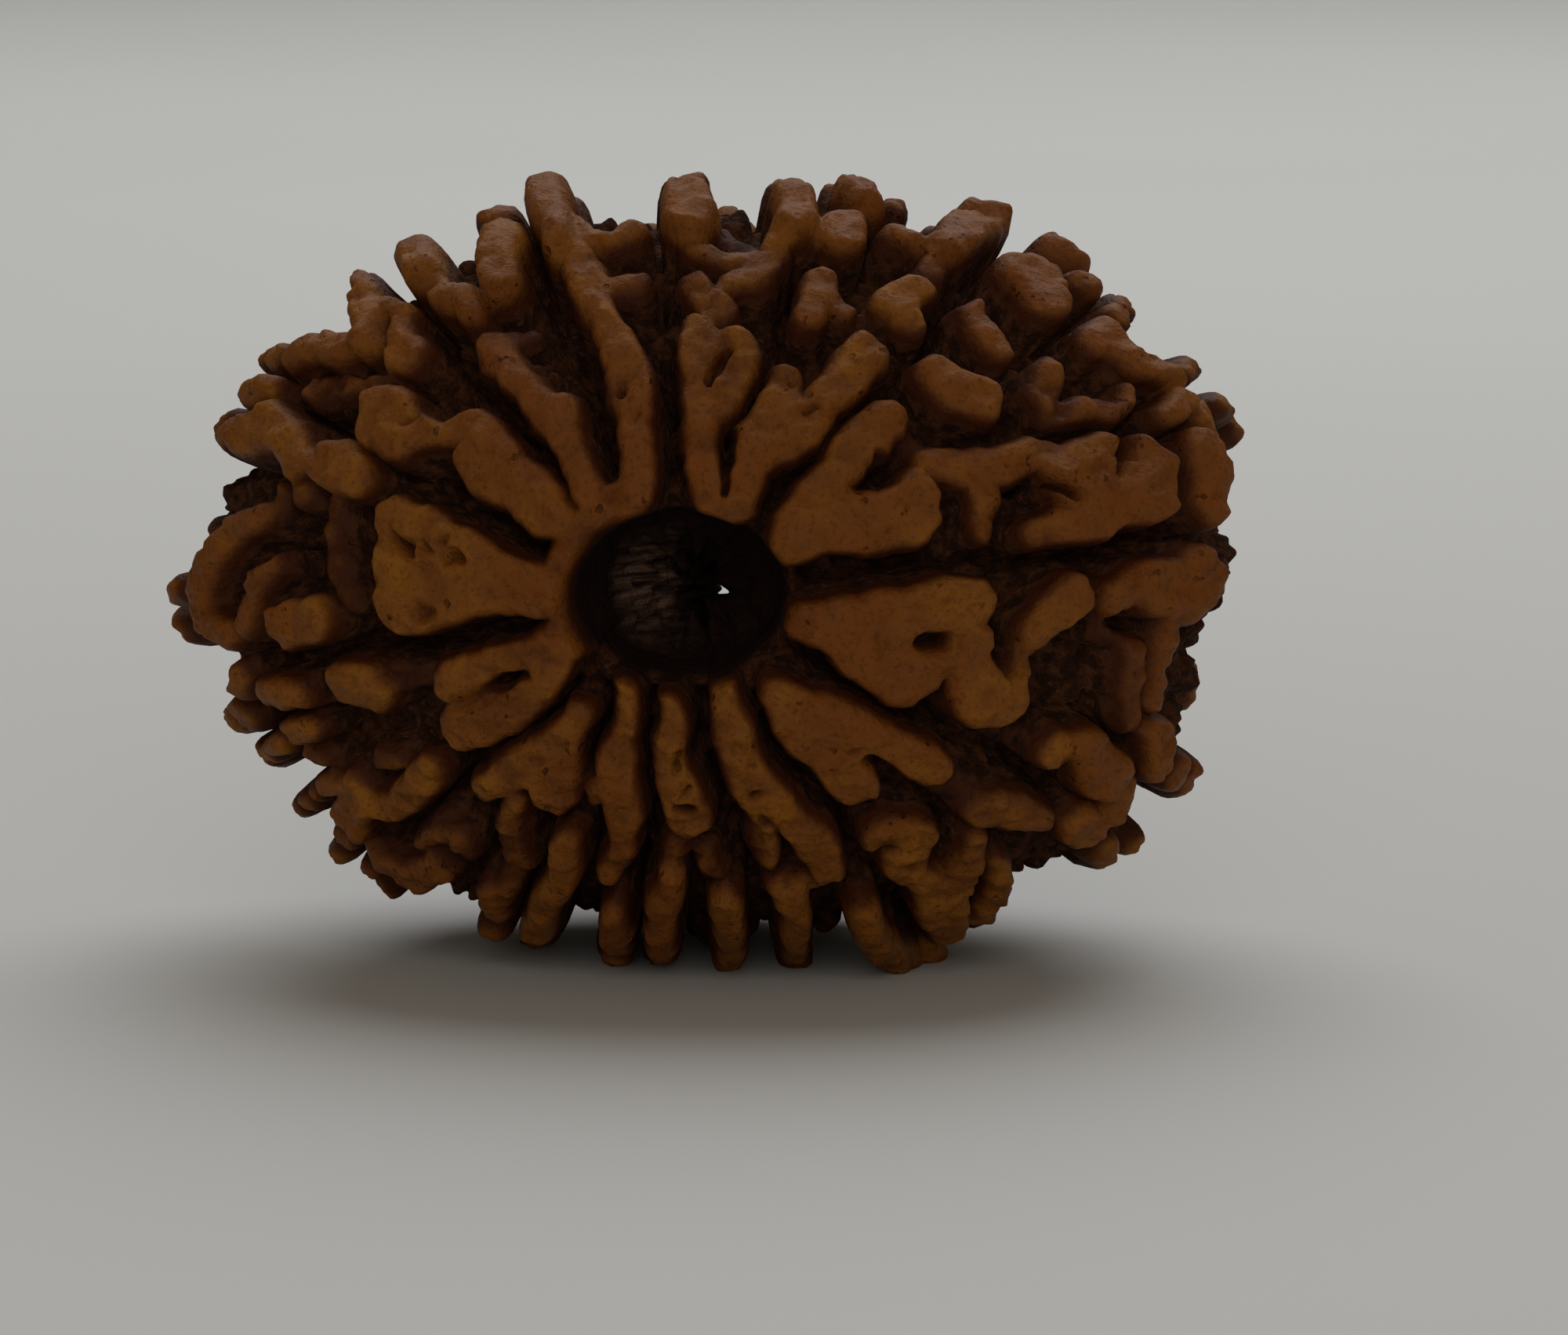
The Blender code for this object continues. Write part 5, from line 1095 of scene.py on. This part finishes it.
LAMP_AIM = (0.0, 0.0, 0.01)  # where both lamps point, in metres
LAMPS = {
    "lamp over the table": ((0.02, 0.25, 0.40), 0.56, 1.66, (0.97, 0.99, 1.0)),
    "lamp in front": ((0.05, -0.50, 0.22), 0.40, 0.68, (1.0, 0.92, 0.82)),
}  # place and size in metres, power in watts, and colour
ROOM_COLOUR = (1.0, 0.84, 0.66, 1.0)
ROOM_STRENGTH = 0.13

for name, (spot, size, power, colour) in LAMPS.items():
    lamp = bpy.data.objects.new(name, bpy.data.lights.new(name, "AREA"))
    bpy.context.collection.objects.link(lamp)
    lamp.data.shape = "DISK"
    lamp.data.size = size
    lamp.data.energy = power
    lamp.data.color = colour
    lamp.location = spot
    to_bead = Vector(LAMP_AIM) - lamp.location
    lamp.rotation_euler = to_bead.to_track_quat("-Z", "Y").to_euler()

room = bpy.data.worlds.new("pale room")
room.use_nodes = True
room.node_tree.nodes["Background"].inputs["Color"].default_value = ROOM_COLOUR
room.node_tree.nodes["Background"].inputs["Strength"].default_value = ROOM_STRENGTH
bpy.context.scene.world = room
bpy.context.scene.view_settings.view_transform = "Standard"

# The camera: it stands on the near side, a little to the right of the bore and a little above it,
# where the near face is drawn from.

PICTURE_WIDTH = 40.0  # what the picture's width takes in at the bead, in millimetres
PICTURE_SHIFT = (1.9, -2.43)  # how far the picture's middle lies right of and above the bead's
SENSOR_WIDTH = 36.0

view = NearFace()
camera = bpy.data.objects.new("camera", bpy.data.cameras.new("camera"))
bpy.context.collection.objects.link(camera)
camera.data.sensor_fit = "HORIZONTAL"
camera.data.sensor_width = SENSOR_WIDTH
camera.data.lens = SENSOR_WIDTH * EYE_DISTANCE / PICTURE_WIDTH
camera.data.shift_x = PICTURE_SHIFT[0] / PICTURE_WIDTH
camera.data.shift_y = PICTURE_SHIFT[1] / PICTURE_WIDTH
camera.data.clip_start = 0.001
eye = (view.eye + Vector((-BOX_MIDDLE[0], -BOX_MIDDLE[1], FOOT_DROP))) * MM
turned = Matrix((view.right, view.up, view.away)).transposed()
camera.matrix_world = Matrix.Translation(eye) @ turned.to_4x4()
bpy.context.scene.camera = camera
